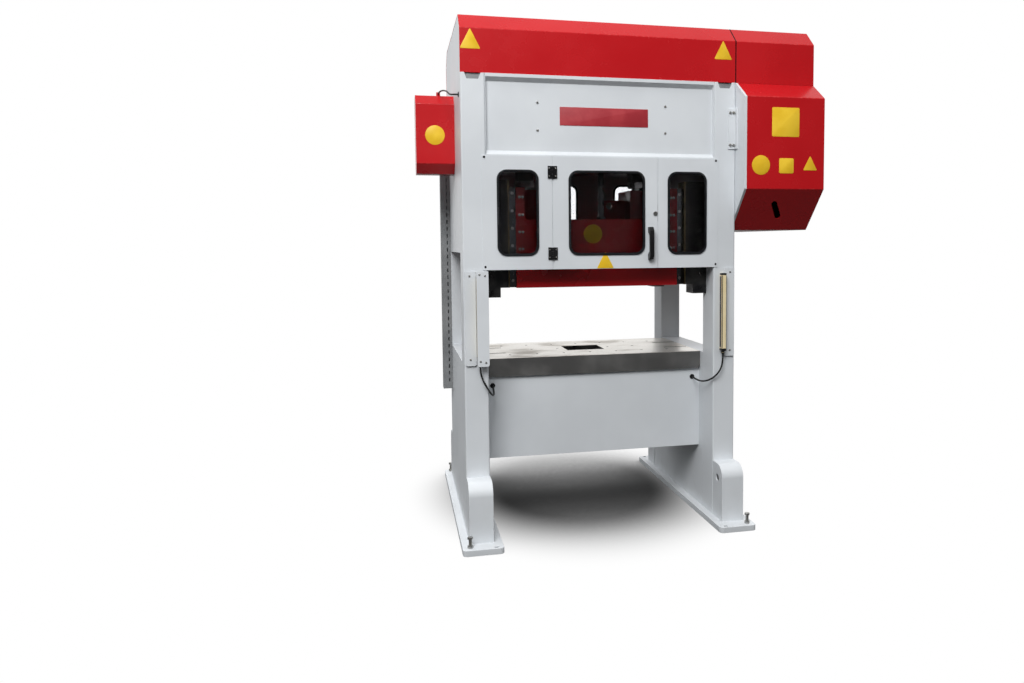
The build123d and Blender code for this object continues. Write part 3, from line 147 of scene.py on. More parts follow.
class Finish:
    # the nodes of one material, or of the world
    def __init__(self, owner):
        self.owner = owner
        owner.use_nodes = True
        self.tree = owner.node_tree
        self.tree.nodes.clear()

    def node(self, kind, settings=None, sockets=None, take=0):
        made = self.tree.nodes.new(kind)
        for key, value in (settings or {}).items():
            setattr(made, key, value)
        for key, value in (sockets or {}).items():
            join(self.tree, value, made.inputs[key])
        return Wire(self.tree, made.outputs[take]) if made.outputs else made

    def place(self, stretch=(1, 1, 1)):
        spot = self.node("ShaderNodeTexCoord", take="Object")
        return self.node("ShaderNodeMapping", sockets={"Vector": spot, "Scale": stretch})

    def noise(self, scale, detail=2.0, stretch=(1, 1, 1)):
        sockets = {"Vector": self.place(stretch), "Scale": scale, "Detail": detail}
        return self.node("ShaderNodeTexNoise", sockets=sockets)

    def height(self):
        return self.node("ShaderNodeSeparateXYZ", sockets={"Vector": self.place()}, take=2)

    def rim(self):
        return self.node("ShaderNodeAttribute", {"attribute_name": "rim"}, take="Fac")

    def tint(self, low, high, mask):
        # on a colour mix, socket 0 is the factor and sockets 6 and 7 are the two colours
        sockets = {0: mask, 6: solid(low), 7: solid(high)}
        return self.node("ShaderNodeMix", {"data_type": "RGBA"}, sockets, take=2)

    def bump(self, height, strength, distance, under=None):
        sockets = {"Height": height, "Strength": strength, "Distance": distance}
        if under:
            sockets["Normal"] = under
        return self.node("ShaderNodeBump", sockets=sockets)

    def surface(self, colour, rough, normal=None, **fixed):
        sockets = {"Base Color": solid(colour), "Roughness": rough}
        if normal:
            sockets["Normal"] = normal
        sockets.update({key.replace("_", " "): value for key, value in fixed.items()})
        shader = self.node("ShaderNodeBsdfPrincipled", sockets=sockets)
        self.node("ShaderNodeOutputMaterial", sockets={"Surface": shader})
        return self.owner


def newFinish(name):
    return Finish(bpy.data.materials.new(name))


# Camera: solved from the press's own parallel edges
cameraView = {
    "place": (-1.0198, -4.3539, 1.4619),
    "yaw": 0.22421,
    "pitch": -0.06642,
    "roll": -0.00662,
    "focalPixels": 800.97,
    "centrePixel": (577.42, 294.99),
    "photoPixels": (1024, 683),
    "sensor": 36.0,
}


def setCamera(view):
    yaw, pitch, roll = view["yaw"], view["pitch"], view["roll"]
    ahead = Vector((math.sin(yaw) * math.cos(pitch), math.cos(yaw) * math.cos(pitch), math.sin(pitch)))
    right = Vector((math.cos(yaw), -math.sin(yaw), 0))
    up = right.cross(ahead)
    across = right * math.cos(roll) + up * math.sin(roll)
    upright = up * math.cos(roll) - right * math.sin(roll)
    camera = bpy.data.cameras.new("photoCamera")
    wide, high = view["photoPixels"]
    camera.sensor_width = view["sensor"]
    camera.lens = view["focalPixels"] * view["sensor"] / wide
    camera.shift_x = (wide / 2 - view["centrePixel"][0]) / wide
    camera.shift_y = (view["centrePixel"][1] - high / 2) / wide
    camera.clip_end = 100
    holder = bpy.data.objects.new("photoCamera", camera)
    bpy.context.scene.collection.objects.link(holder)
    turn = Matrix((across, upright, -ahead)).transposed().to_4x4()
    holder.matrix_world = Matrix.Translation(view["place"]) @ turn
    bpy.context.scene.camera = holder


setCamera(cameraView)
bpy.context.scene.view_settings.view_transform = "Standard"
print("camera set")


# Cables: the same routes as the solids, as smooth curves
cables = {
    "curtain_cable_right": {
        "diameter": 0.009,
        "length": 0.386,
        "points": [
            (0.626, -0.510, 0.880), (0.626, -0.510, 0.842), (0.615, -0.512, 0.800),
            (0.590, -0.509, 0.767), (0.568, -0.489, 0.744), (0.553, -0.449, 0.729),
            (0.546, -0.401, 0.722), (0.5425, -0.350, 0.723), (0.542, -0.304, 0.727),
            (0.542, -0.268, 0.728),
        ],
    },
    "curtain_cable_left": {
        "diameter": 0.009,
        "length": 0.392,
        "points": [
            (-0.626, -0.510, 0.880), (-0.627, -0.511, 0.840), (-0.616, -0.513, 0.798),
            (-0.596, -0.511, 0.760), (-0.577, -0.493, 0.728), (-0.560, -0.451, 0.708),
            (-0.549, -0.402, 0.703), (-0.544, -0.355, 0.709), (-0.542, -0.308, 0.722),
            (-0.542, -0.268, 0.728),
        ],
    },
    "encoder_cable": {
        "diameter": 0.008,
        "length": 0.421,
        "points": [
            (-0.776, -0.013, 2.244), (-0.776, -0.060, 2.244), (-0.763, -0.122, 2.243),
            (-0.751, -0.186, 2.231), (-0.744, -0.252, 2.213), (-0.741, -0.312, 2.194),
            (-0.737, -0.354, 2.183), (-0.728, -0.382, 2.178), (-0.712, -0.396, 2.1765),
            (-0.693, -0.398, 2.176),
        ],
    },
}


cableMake = {"roundness": 5, "steps": 16, "order": 3}


def camel(name):
    # a node's name in the style of a piece's name
    first, *rest = name.split("_")
    return first + "".join(word.title() for word in rest)


def makeCable(name, facts, finish):
    curve = bpy.data.curves.new(camel(name), "CURVE")
    curve.dimensions = "3D"
    curve.bevel_depth = facts["diameter"] / 2
    curve.bevel_resolution = cableMake["roundness"]
    curve.resolution_u = cableMake["steps"]
    line = curve.splines.new("NURBS")
    line.points.add(len(facts["points"]) - 1)
    for point, place in zip(line.points, facts["points"]):
        point.co = (*place, 1)
    line.order_u = cableMake["order"]
    line.use_endpoint_u = True
    curve.materials.append(finish)
    cable = bpy.data.objects.new(camel(name), curve)
    bpy.context.scene.collection.objects.link(cable)
    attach(cable, "press_frame")
    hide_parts(name)


# Paints
whiteLook = {
    "deep": (0.650, 0.680, 0.709), "light": (0.705, 0.736, 0.765),
    "dust": (0.43, 0.42, 0.40), "dustShare": 0.18, "worn": (0.50, 0.51, 0.52), "wear": 0.5,
    "peel": 240, "peelDepth": 0.25, "rough": 0.36, "shine": 0.28,
}
redLook = {
    "deep": (0.500, 0.0055, 0.0095), "light": (0.540, 0.0075, 0.0120),
    # the red's pale pink edge colour is partly thin paint and partly a painted highlight of the folds
    "dust": (0.36, 0.10, 0.09), "dustShare": 0.05, "worn": (0.60, 0.045, 0.045), "wear": 0.6,
    "peel": 260, "peelDepth": 0.14, "rough": 0.24, "shine": 0.40,
}
motorLook = {
    "deep": (0.045, 0.070, 0.095), "light": (0.060, 0.088, 0.115),
    "dust": (0.14, 0.13, 0.12), "dustShare": 0.30, "worn": (0.20, 0.20, 0.20), "wear": 0.8,
    "peel": 420, "peelDepth": 0.30, "rough": 0.42, "shine": 0.35,
}


def paint(name, look):
    # sprayed enamel: slow clouds, fine orange peel, dust low down, and thin paint on the edges, which on the
    # red is also a painted highlight along the folds
    coat = newFinish(name)
    cloud = coat.noise(2.6, 3).between(0.32, 0.68)
    runs = coat.noise(5.0, 3, (3.2, 3.2, 0.35)).between(0.42, 0.75)
    low = 1 - coat.height().between(0.02, 0.55)
    grime = coat.noise(16, 5).between(0.45, 0.8)
    dust = (low * 0.7 + runs * 0.16) * (0.35 + grime * 0.65) * look["dustShare"]
    chipsAndHighlight = coat.rim() * coat.noise(60, 4).between(0.50, 0.66) * look["wear"]
    colour = coat.tint(look["deep"], look["light"], cloud)
    colour = coat.tint(colour, look["dust"], dust)
    colour = coat.tint(colour, look["worn"], chipsAndHighlight)
    rough = look["rough"] + cloud * 0.05 + dust * 0.5 + grime * 0.03
    peel = coat.bump(coat.noise(look["peel"], 1.5), look["peelDepth"], 0.0002)
    waves = coat.bump(coat.noise(7, 2), 0.12, 0.0012, peel)
    return coat.surface(colour, rough, waves, Specular_IOR_Level=look["shine"])


# Metals
groundLook = {
    "clean": (0.78, 0.75, 0.70), "line": (0.60, 0.575, 0.53), "stain": (0.40, 0.355, 0.30),
    "smear": (0.86, 0.84, 0.80), "rust": (0.23, 0.115, 0.055),
    "stainShare": 0.62, "smearShare": 0.45, "rustShare": 0.8, "rough": 0.27,
}


def groundSteel():
    # the bolster's top: fine grinding lines along X, oily stains and a few rust freckles
    coat = newFinish("groundSteel")
    lines = coat.noise(9, 4, (1.5, 60, 60))
    fine = coat.noise(50, 3, (0.6, 22, 22))
    stain = coat.noise(4.5, 5, (1, 1.7, 1)).between(0.46, 0.70)
    smear = coat.noise(3.0, 4, (0.7, 3.5, 1)).between(0.50, 0.72)
    freckle = coat.noise(85, 3).between(0.66, 0.74) * coat.noise(6, 2).between(0.45, 0.62)
    colour = coat.tint(groundLook["clean"], groundLook["line"], lines.between(0.35, 0.65))
    colour = coat.tint(colour, groundLook["stain"], stain * groundLook["stainShare"])
    colour = coat.tint(colour, groundLook["smear"], smear * groundLook["smearShare"])
    colour = coat.tint(colour, groundLook["rust"], freckle * groundLook["rustShare"])
    rough = groundLook["rough"] + stain * 0.20 + lines * 0.10
    normal = coat.bump(fine, 0.30, 0.0002, coat.bump(lines, 0.25, 0.0004))
    return coat.surface(colour, rough, normal, Metallic=0.92)


milledLook = {
    "deep": (0.195, 0.193, 0.190), "light": (0.260, 0.256, 0.250),
    "rubbed": (0.62, 0.60, 0.57), "rubbedShare": 0.8, "rough": 0.40,
}


def milledSteel():
    # sawn and milled sides, darkened by oil, with bright rubbed edges
    coat = newFinish("milledSteel")
    scallop = coat.noise(18, 3, (0.5, 8, 8))
    patch = coat.noise(5, 5).between(0.36, 0.66)
    edge = coat.rim() * coat.noise(40, 3).between(0.35, 0.60)
    colour = coat.tint(milledLook["deep"], milledLook["light"], patch)
    colour = coat.tint(colour, milledLook["rubbed"], edge * milledLook["rubbedShare"])
    rough = milledLook["rough"] + patch * 0.16
    return coat.surface(colour, rough, coat.bump(scallop, 0.4, 0.0004), Metallic=0.85)


def turnedSteel(name, clean, oiled):
    # shafts, rods and guide bars: fine tool lines under a film of oil
    coat = newFinish(name)
    lines = coat.noise(30, 3, (6, 6, 0.6))
    film = coat.noise(7, 4).between(0.40, 0.70)
    colour = coat.tint(clean, oiled, film)
    rough = 0.24 + film * 0.14
    return coat.surface(colour, rough, coat.bump(lines, 0.25, 0.0002), Metallic=1.0)


blackLook = {
    "deep": (0.022, 0.022, 0.024), "light": (0.060, 0.058, 0.055),
    "rubbed": (0.36, 0.35, 0.33), "rubbedShare": 0.7, "rough": 0.36,
}


def blackSteel():
    # blackened gib blocks and screws, rubbed bright on the edges
    coat = newFinish("blackSteel")
    patch = coat.noise(14, 5).between(0.35, 0.68)
    edge = coat.rim() * coat.noise(55, 3).between(0.42, 0.62)
    colour = coat.tint(blackLook["deep"], blackLook["light"], patch)
    colour = coat.tint(colour, blackLook["rubbed"], edge * blackLook["rubbedShare"])
    rough = blackLook["rough"] + patch * 0.20
    return coat.surface(colour, rough, coat.bump(coat.noise(300, 2), 0.25, 0.0001), Metallic=0.7)


ironLook = {"deep": (0.085, 0.085, 0.088), "light": (0.14, 0.138, 0.135), "rough": 0.48}


def castIron():
    # the flywheel: turned rim, sandy cast web
    coat = newFinish("castIron")
    sand = coat.noise(380, 3)
    patch = coat.noise(6, 4).between(0.35, 0.65)
    colour = coat.tint(ironLook["deep"], ironLook["light"], patch)
    rough = ironLook["rough"] + patch * 0.12
    return coat.surface(colour, rough, coat.bump(sand, 0.45, 0.0003), Metallic=0.8)


bronzeLook = {"clean": (0.20, 0.145, 0.060), "oiled": (0.12, 0.090, 0.045), "rough": 0.28}


def bronze():
    # liners and bushes, browned by oil
    coat = newFinish("bronze")
    patch = coat.noise(20, 4).between(0.35, 0.66)
    colour = coat.tint(bronzeLook["clean"], bronzeLook["oiled"], patch)
    rough = bronzeLook["rough"] + patch * 0.16
    return coat.surface(colour, rough, coat.bump(coat.noise(120, 2), 0.2, 0.0001), Metallic=1.0)


zincLook = {"clean": (0.44, 0.44, 0.435), "dull": (0.34, 0.33, 0.30), "rough": 0.30}


def zinc():
    # passivated plating, faintly yellow in places
    coat = newFinish("zinc")
    patch = coat.noise(45, 3).between(0.38, 0.66)
    colour = coat.tint(zincLook["clean"], zincLook["dull"], patch)
    rough = zincLook["rough"] + patch * 0.14
    return coat.surface(colour, rough, coat.bump(coat.noise(260, 2), 0.2, 0.0001), Metallic=0.95)


# Rubber, plastics and glass
def grained(name, dark, light, rough, grain, depth, shine=0.35):
    # a moulded surface: a little colour drift and an even grain
    coat = newFinish(name)
    drift = coat.noise(9, 4).between(0.35, 0.68)
    scuff = coat.rim() * coat.noise(70, 3).between(0.48, 0.64)
    pale = tuple(min(1.0, channel * 1.6 + 0.03) for channel in light)
    colour = coat.tint(coat.tint(dark, light, drift), pale, scuff * 0.5)
    normal = coat.bump(coat.noise(grain, 2), 0.35, depth)
    return coat.surface(colour, rough + drift * 0.10, normal, Specular_IOR_Level=shine)


def paneSheet(name, clean, wiped):
    # polycarbonate sheet with faint wiping marks
    coat = newFinish(name)
    wipe = coat.noise(7, 3, (1.0, 1.0, 0.35)).between(0.5, 0.8)
    colour = coat.tint(clean, wiped, wipe)
    return coat.surface(colour, 0.015 + wipe * 0.02, Transmission_Weight=1.0, IOR=1.10)


def signVinyl(name, dark, light):
    # plain vinyl with a soft sheen and slight waviness
    coat = newFinish(name)
    drift = coat.noise(14, 3).between(0.35, 0.68)
    colour = coat.tint(dark, light, drift)
    normal = coat.bump(coat.noise(60, 2), 0.15, 0.0003)
    return coat.surface(colour, 0.34 + drift * 0.08, normal, Specular_IOR_Level=0.3)


finishes = {
    "white": paint("frameWhite", whiteLook),
    "red": paint("coverRed", redLook),
    "motor": paint("motorPaint", motorLook),
    "ground": groundSteel(),
    "milled": milledSteel(),
    "bright": turnedSteel("brightSteel", (0.55, 0.545, 0.53), (0.43, 0.41, 0.36)),
    "oiled": turnedSteel("oiledSteel", (0.085, 0.090, 0.096), (0.050, 0.051, 0.050)),
    "black": blackSteel(),
    "iron": castIron(),
    "bronze": bronze(),
    "zinc": zinc(),
    "rubber": grained("blackRubber", (0.0035, 0.0035, 0.0045), (0.008, 0.008, 0.010), 0.42, 420,
                      0.00008, 0.18),
    "filler": grained("fillerStrip", (0.020, 0.022, 0.026), (0.032, 0.034, 0.038), 0.20, 300,
                      0.00005, 0.6),
    "plastic": grained("blackPlastic", (0.006, 0.006, 0.007), (0.013, 0.013, 0.014), 0.30, 520,
                       0.0001, 0.40),
    "lens": grained("lensStrip", (0.030, 0.012, 0.010), (0.045, 0.020, 0.014), 0.16, 90, 0.00004, 0.5),
    "yellow": grained("curtainYellow", (0.82, 0.68, 0.40), (0.88, 0.75, 0.48), 0.36, 260, 0.00008),
    "duct": grained("ductGrey", (0.200, 0.208, 0.214), (0.250, 0.258, 0.264), 0.46, 340, 0.0001),
    "sheath": grained("cableSheath", (0.011, 0.011, 0.012), (0.021, 0.021, 0.022), 0.48, 620, 0.00006),
    "belt": grained("beltRubber", (0.012, 0.012, 0.012), (0.024, 0.023, 0.022), 0.62, 260, 0.0002),
    "clearPane": paneSheet("clearPane", (0.97, 0.975, 0.975), (0.94, 0.945, 0.95)),
    # the grey tint of the front panes is painted shade: it darkens the press's inside seen through them
    "shadeTintedPane": paneSheet("shadeTintedPane", (0.30, 0.30, 0.31), (0.33, 0.33, 0.34)),
    "sign": signVinyl("signYellow", (0.80, 0.50, 0.020), (0.88, 0.58, 0.035)),
    "plate": signVinyl("plateRed", (0.36, 0.030, 0.040), (0.43, 0.042, 0.052)),
}
print("finishes made:", len(finishes))

for cableName, cableFacts in cables.items():
    makeCable(cableName, cableFacts, finishes["sheath"])
print("cables laid")


# CAD nodes: a plain coat for the inner ones, and a dressed copy with softened edges for what shows
innerCoats = {
    "white": ["crown_floor", "bearing_plates", "bed_ribs", "counterbalance_cylinders"],
    "bronze": ["main_bushes", "gib_liners"],
    "bright": ["crankshaft", "ball_screws", "timing_cams"],
    "oiled": ["counterbalance_rods", "slide_guide_bars"],
    "iron": ["connecting_rod_left", "connecting_rod_right", "flywheel", "motor_pulley"],
    "motor": ["clutch_brake", "drive_motor"],
    "belt": ["vee_belts"],
    "plastic": ["cam_switches"],
    "shadeTintedPane": ["door_pane"],
    "zinc": ["hinge_pins"],
}
for coatName, nodeNames in innerCoats.items():
    for nodeName in nodeNames:
        for materialSlot in frame["nodes"][nodeName].material_slots:
            materialSlot.material = finishes[coatName]

# node: coat, record slot, width of a folded or machined edge and of a rim, in millimetres
dressed = {
    "foot_right": ("white", "white_paint", 2.5, 2.0),
    "foot_left": ("white", "white_paint", 2.5, 2.0),
    "column_front_right": ("white", "white_paint", 2.0, 1.6),
    "column_front_left": ("white", "white_paint", 2.0, 1.6),
    "column_rear_right": ("white", "white_paint", 2.0, 1.6),
    "column_rear_left": ("white", "white_paint", 2.0, 1.6),
    "side_walls_right": ("white", "white_paint", 1.8, 1.5),
    "side_walls_left": ("white", "white_paint", 1.8, 1.5),
    "bed_front_plate": ("white", "white_paint", 1.5, 1.5),
    "bed_rear_plate": ("white", "white_paint", 1.5, 1.5),
    "crown_front": ("white", "white_paint", 0.8, 0.7),
    "crown_rear": ("white", "white_paint", 0.8, 0.7),
    "bolster": ("milled", "machined_steel", 1.2, 1.2),
    "slide_body": ("red", "red_paint", 2.5, 1.8),
    "gib_blocks": ("black", "blackened_steel", 1.0, 1.0),
    "top_cover": ("red", "red_paint", 3.2, 0.8),
    "cover_extension": ("red", "red_paint", 3.2, 0.8),
    "cover_end_plate": ("white", "white_paint", 2.0, 1.2),
    "drive_guard": ("red", "red_paint", 3.2, 0.8),
    "drive_mounting_plate": ("white", "white_paint", 1.0, 1.0),
    "encoder_cover": ("red", "red_paint", 3.0, 0.8),
    "guard_left_panel": ("white", "white_paint", 0.9, 0.9),
    "guard_right_panel": ("white", "white_paint", 0.9, 0.9),
    "guard_door": ("white", "white_paint", 0.9, 0.9),
    "rear_guard": ("white", "white_paint", 0.9, 0.9),
    "fixed_gaskets": ("rubber", "rubber", 1.2, 1.2),
    "door_gasket": ("rubber", "rubber", 1.2, 1.2),
    "hinge_leaves_fixed": ("plastic", "black_plastic", 0.6, 0.6),
    "hinge_leaves_door": ("plastic", "black_plastic", 0.6, 0.6),
    "door_handle": ("plastic", "black_plastic", 2.2, 2.2),
    "door_lock": ("zinc", "zinc", 0.5, 0.5),
    "fixed_panes": ("shadeTintedPane", "clear_pane", 0.4, 0.4),
    "light_curtains": ("yellow", "curtain_yellow", 0.8, 0.8),
    "curtain_covers": ("white", "white_paint", 0.8, 0.8),
    "level_bolts": ("zinc", "zinc", 0.8, 0.8),
    "cable_duct": ("duct", "grey_plastic", 0.8, 0.8),
}
foldAngle = math.radians(28)
rimAngle = math.radians(76)


def rounded(shape, parts, width, segments=2, affect="EDGES", clamp=True):
    return bmesh.ops.bevel(shape, geom=parts, offset=width, offset_type="OFFSET", segments=segments,
                           profile=0.5, affect=affect, clamp_overlap=clamp, material=-1)


def soften(shape, low, high, width):
    # rounds the edges whose turn lies between two angles, and marks the new faces as rim
    edges = []
    for edge in shape.edges:
        if len(edge.link_faces) == 2 and edge.calc_length() > width:
            if low < edge.calc_face_angle(0) <= high:
                edges.append(edge)
    made = rounded(shape, edges, width, clamp=False)
    layer = shape.faces.layers.float["rim"]
    for face in made["faces"]:
        face[layer] = 1.0


def addPiece(name, shape, coats, body="press_frame", smooth=38):
    mesh = bpy.data.meshes.new(name)
    shape.to_mesh(mesh)
    shape.free()
    if "custom_normal" in mesh.attributes:
        # the copy's old normals don't fit its new edges
        mesh.attributes.remove(mesh.attributes["custom_normal"])
    for coat in coats:
        mesh.materials.append(finishes[coat])
    mesh.shade_smooth()
    mesh.set_sharp_from_angle(angle=math.radians(smooth))
    made = bpy.data.objects.new(name, mesh)
    bpy.context.scene.collection.objects.link(made)
    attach(made, body)
    return made


crownRecess = {"depth": 465 * mm, "end": 578.5 * mm, "nodes": ("crown_front", "crown_rear")}
weldGap = 0.01 * mm  # corners closer than this are one
flatTurn = math.radians(0.6)  # faces that turn less than this are one
wallDepth = 2 * mm  # a face this far inside the box is the wall of a hole or slot


def squareEnds(shape):
    # the recess is folded at its top and bottom only, so its floor reaches the columns
    for vert in shape.verts:
        if abs(abs(vert.co.y) - crownRecess["depth"]) < mm:
            vert.co.x = math.copysign(crownRecess["end"], vert.co.x)


def coatSecond(name, shape, second):
    # gives the faces across one axis a second coat, and the walls of holes a third, a dark coat that paints
    # their shade
    axis, low, high = second["span"]
    for face in shape.faces:
        if low < face.calc_center_median()[axis] < high and abs(face.normal[axis]) > second["square"]:
            face.material_index = 1
    if "inner" not in second:
        return [second["coat"]]
    lowest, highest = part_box(name)
    for face in shape.faces:
        middle = face.calc_center_median()
        if all(lowest[way] + wallDepth < middle[way] < highest[way] - wallDepth for way in range(3)):
            face.material_index = 2
    return [second["coat"], second["inner"]]


def dressNode(name, coat, fold, rim):
    # the node's own shape, merged, with softened edges and its coats
    cad = frame["nodes"][name]
    shape = bmesh.new()
    shape.from_mesh(cad.data)
    bmesh.ops.remove_doubles(shape, verts=shape.verts, dist=weldGap)
    bmesh.ops.dissolve_limit(shape, angle_limit=flatTurn, verts=shape.verts, edges=shape.edges)
    if name in crownRecess["nodes"]:
        squareEnds(shape)
    shape.faces.layers.float.new("rim")
    soften(shape, foldAngle, rimAngle, fold * mm)
    soften(shape, rimAngle, math.pi, rim * mm)
    for face in shape.faces:
        face.material_index = 0
    coats = [coat]
    if name in secondCoats:
        coats += coatSecond(name, shape, secondCoats[name])
    made = addPiece(camel(name), shape, coats, body_of(cad)[0])
    even = made.modifiers.new("evenShading", "WEIGHTED_NORMAL")
    even.keep_sharp = True
    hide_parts(name)


# faces that take another coat: the axis and span their middles lie in, and how squarely they face that axis
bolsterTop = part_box("bolster")[1].z
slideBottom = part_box("slide_body")[0].z
secondCoats = {
    # the walls of the bolster's holes take the black coat as painted shade
    "bolster": {"coat": "ground", "span": (2, bolsterTop - 2 * mm, bolsterTop + 2 * mm), "square": 0.9,
                "inner": "black"},
    "slide_body": {"coat": "ground", "span": (2, slideBottom - 2 * mm, slideBottom + 2 * mm), "square": 0.9},
    # the rear panes take the clear coat; the front ones keep the grey tint of painted shade
    "fixed_panes": {"coat": "clearPane", "span": (1, 0, 1), "square": -1},
}
for nodeName, (coatName, recordSlot, foldWidth, rimWidth) in dressed.items():
    dressNode(nodeName, coatName, foldWidth, rimWidth)
print("nodes dressed:", len(dressed))


# Shapes that repeat: turned parts and flat plates, all sized in millimetres
def turned(profile, steps=24):
    # a profile of (radius, height) points spun about the local Z axis
    shape = bmesh.new()
    corners = [shape.verts.new((radius * mm, 0, height * mm)) for radius, height in profile]
    edges = [shape.edges.new(pair) for pair in zip(corners, corners[1:])]
    bmesh.ops.spin(shape, geom=corners + edges, cent=(0, 0, 0), axis=(0, 0, 1), angle=2 * math.pi,
                   steps=steps, use_merge=True)
    bmesh.ops.remove_doubles(shape, verts=shape.verts, dist=1e-6)
    bmesh.ops.recalc_face_normals(shape, faces=shape.faces)
    return shape


def thicken(shape, thick, edge):
    # gives a flat outline its thickness along local Z and breaks its upper edge
    up = bmesh.ops.extrude_face_region(shape, geom=shape.faces[:])
    lifted = [item for item in up["geom"] if isinstance(item, bmesh.types.BMVert)]
    bmesh.ops.translate(shape, verts=lifted, vec=(0, 0, thick * mm))
    bmesh.ops.recalc_face_normals(shape, faces=shape.faces)
    upper = [item for item in shape.edges if all(vert.co.z > thick * mm * 0.9 for vert in item.verts)]
    upper = [item for item in upper if item.calc_face_angle(0) > 1]
    rounded(shape, upper, edge * mm)
    return shape


def spanOf(shape, axis):
    spots = [vert.co[axis] for vert in shape.verts]
    return max(spots) - min(spots)


def outlinePlate(sides, wide, high, corner, thick=0.8, edge=0.3, turn=0.0):
    # a plate with round corners: 3 sides for a triangle, 4 for a rectangle, many for a disc
    shape = bmesh.new()
    bmesh.ops.create_circle(shape, cap_ends=True, segments=sides, radius=1.0)
    spin = Matrix.Rotation(turn, 3, "Z")
    bmesh.ops.rotate(shape, verts=shape.verts, cent=(0, 0, 0), matrix=spin)
    fit = (wide * mm / spanOf(shape, 0), high * mm / spanOf(shape, 1), 1)
    bmesh.ops.scale(shape, verts=shape.verts, vec=fit)
    if corner:
        rounded(shape, shape.verts[:], corner * mm, 6, "VERTICES")
    return thicken(shape, thick, edge)


def facing(place, outward):
    # the matrix that stands local Z along a direction, with local Y upright, at a place in millimetres
    outward = Vector(outward).normalized()
    side = Vector((0, 0, 1)).cross(outward)
    side = side.normalized() if side.length > 0.01 else Vector((1, 0, 0))
    upright = outward.cross(side)
    basis = Matrix((side, upright, outward)).transposed().to_4x4()
    return Matrix.Translation(Vector(place) * mm) @ basis


asMade = [Matrix.Identity(4)]


def stamp(mould, matrices, target=None):
    # copies a shape to each matrix, all in one mesh
    target = target or bmesh.new()
    pattern = bpy.data.meshes.new("pattern")
    mould.to_mesh(pattern)
    mould.free()
    for matrix in matrices:
        start = len(target.verts)
        target.from_mesh(pattern)
        target.verts.ensure_lookup_table()
        bmesh.ops.transform(target, matrix=matrix, verts=target.verts[start:])
    bpy.data.meshes.remove(pattern)
    return target


toFront = (0, -1, 0)
toRear = (0, 1, 0)
toLeft = (-1, 0, 0)
toRight = (1, 0, 0)
toTop = (0, 0, 1)
quarter = math.pi / 4  # stands a circle of four sides square


def buttonScrew(radius, height):
    # domed head with a round socket
    profile = [
        (radius, 0), (radius, height * 0.35), (radius * 0.86, height * 0.75), (radius * 0.62, height),
        (radius * 0.40, height), (radius * 0.36, height * 0.35), (0, height * 0.30),
    ]
    return turned(profile, 20)


def capScrew(radius, height):
    # straight head with a chamfer and a socket
    profile = [
        (radius, 0), (radius, height * 0.88), (radius * 0.90, height), (radius * 0.52, height),
        (radius * 0.50, height * 0.45), (0, height * 0.42),
    ]
    return turned(profile, 24)


def hexBolt(width, height):
    # hexagon head on a washer
    shape = bmesh.new()
    corner = width * mm / 1.732
    bmesh.ops.create_cone(shape, cap_ends=True, segments=6, radius1=corner, radius2=corner,
                          depth=height * mm)
    bmesh.ops.translate(shape, verts=shape.verts, vec=(0, 0, height * mm / 2 + 1.5 * mm))
    rounded(shape, shape.edges[:], 0.6 * mm)
    rim = width * 0.72
    washer = turned([(0, 0), (rim, 0), (rim, 1.2), (width * 0.66, 1.6), (0, 1.6)], 24)
    return stamp(washer, asMade, shape)


# Crown: the bare name plate and its screws
crown = {
    "face": -465, "plateCentre": (10, 2076), "plateSize": (452, 90),
    "plateCorner": 3, "plateThick": 1.6, "plateEdge": 0.5,
    "screwsX": (-327, 327), "screwsZ": (2005, 2138), "screw": (6.5, 4),
}
crownX, crownZ = crown["plateCentre"]
namePlate = outlinePlate(4, *crown["plateSize"], crown["plateCorner"], crown["plateThick"],
                         crown["plateEdge"], quarter)
namePlate = stamp(namePlate, [facing((crownX, crown["face"], crownZ), toFront)])
addPiece("crownNamePlate", namePlate, ["plate"])
crownScrews = []
for screwX in crown["screwsX"]:
    for screwZ in crown["screwsZ"]:
        crownScrews.append(facing((screwX, crown["face"], screwZ), toFront))
addPiece("crownScrews", stamp(buttonScrew(*crown["screw"]), crownScrews), ["zinc"])

# Bare yellow plates: sides, centre (x, y, z), width and height, outward direction
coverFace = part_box("top_cover")[0].y / mm
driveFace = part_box("drive_guard")[0].y / mm
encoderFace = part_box("encoder_cover")[0].y / mm
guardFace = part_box("guard_door")[0].y / mm
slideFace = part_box("slide_body")[0].y / mm
signs = {
    "coverSignLeft": (3, (-650, coverFace, 2410), (99, 96), toFront),
    "coverSignRight": (3, (632, coverFace, 2413), (97, 94), toFront),
    "driveSignTop": (4, (922.5, driveFace, 2057.5), (150, 146), toFront),
    "driveSignDisc": (48, (789, driveFace, 1841), (98, 98), toFront),
    "driveSignSmall": (4, (928, driveFace, 1839), (80, 76), toFront),
    "driveSignTriangle": (3, (1060, driveFace, 1842), (78, 74), toFront),
    "encoderSign": (48, (-801, encoderFace, 2018), (100, 100), toFront),
    "doorSign": (3, (6, guardFace, 1357), (88, 84), toFront),
    "slideSign": (48, (-29, slideFace, 1501), (98, 98), toFront),
}
signBodies = {"doorSign": "door", "slideSign": "slide"}
signCorner = 7


def signPlate(sides, size):
    turn = quarter if sides == 4 else 0
    corner = 0 if sides > 4 else signCorner
    return outlinePlate(sides, *size, corner, turn=turn)


for signName, (sides, centre, size, outward) in signs.items():
    plate = stamp(signPlate(sides, size), [facing(centre, outward)])
    addPiece(signName, plate, ["sign"], signBodies.get(signName, "press_frame"))
print("plates placed")

# Guard: corner screws, the filler strips of the rubber frames, hinge screws
guard = {
    "screwX": (-592, 592), "screwZ": (1343, 1870), "screw": (5.5, 3.5),
    "windowLow": 1394.5, "windowHigh": 1811.5, "corner": 48,
    "fixedWindows": ((-533, -328), (332, 542)), "doorWindow": (-180, 213),
    "rearOffset": 405, "rearWidth": 180,
    "gasketFace": 493, "stripInset": 4.2, "stripWidth": 3.4, "stripThick": 0.8, "stripEdge": 0.3,
    "hingeX": -260, "hingeZ": (1405, 1801), "hingeFace": 494,
    "hingeScrewX": 16, "hingeScrewZ": 19, "hingeScrew": (3.6, 2.2),
}


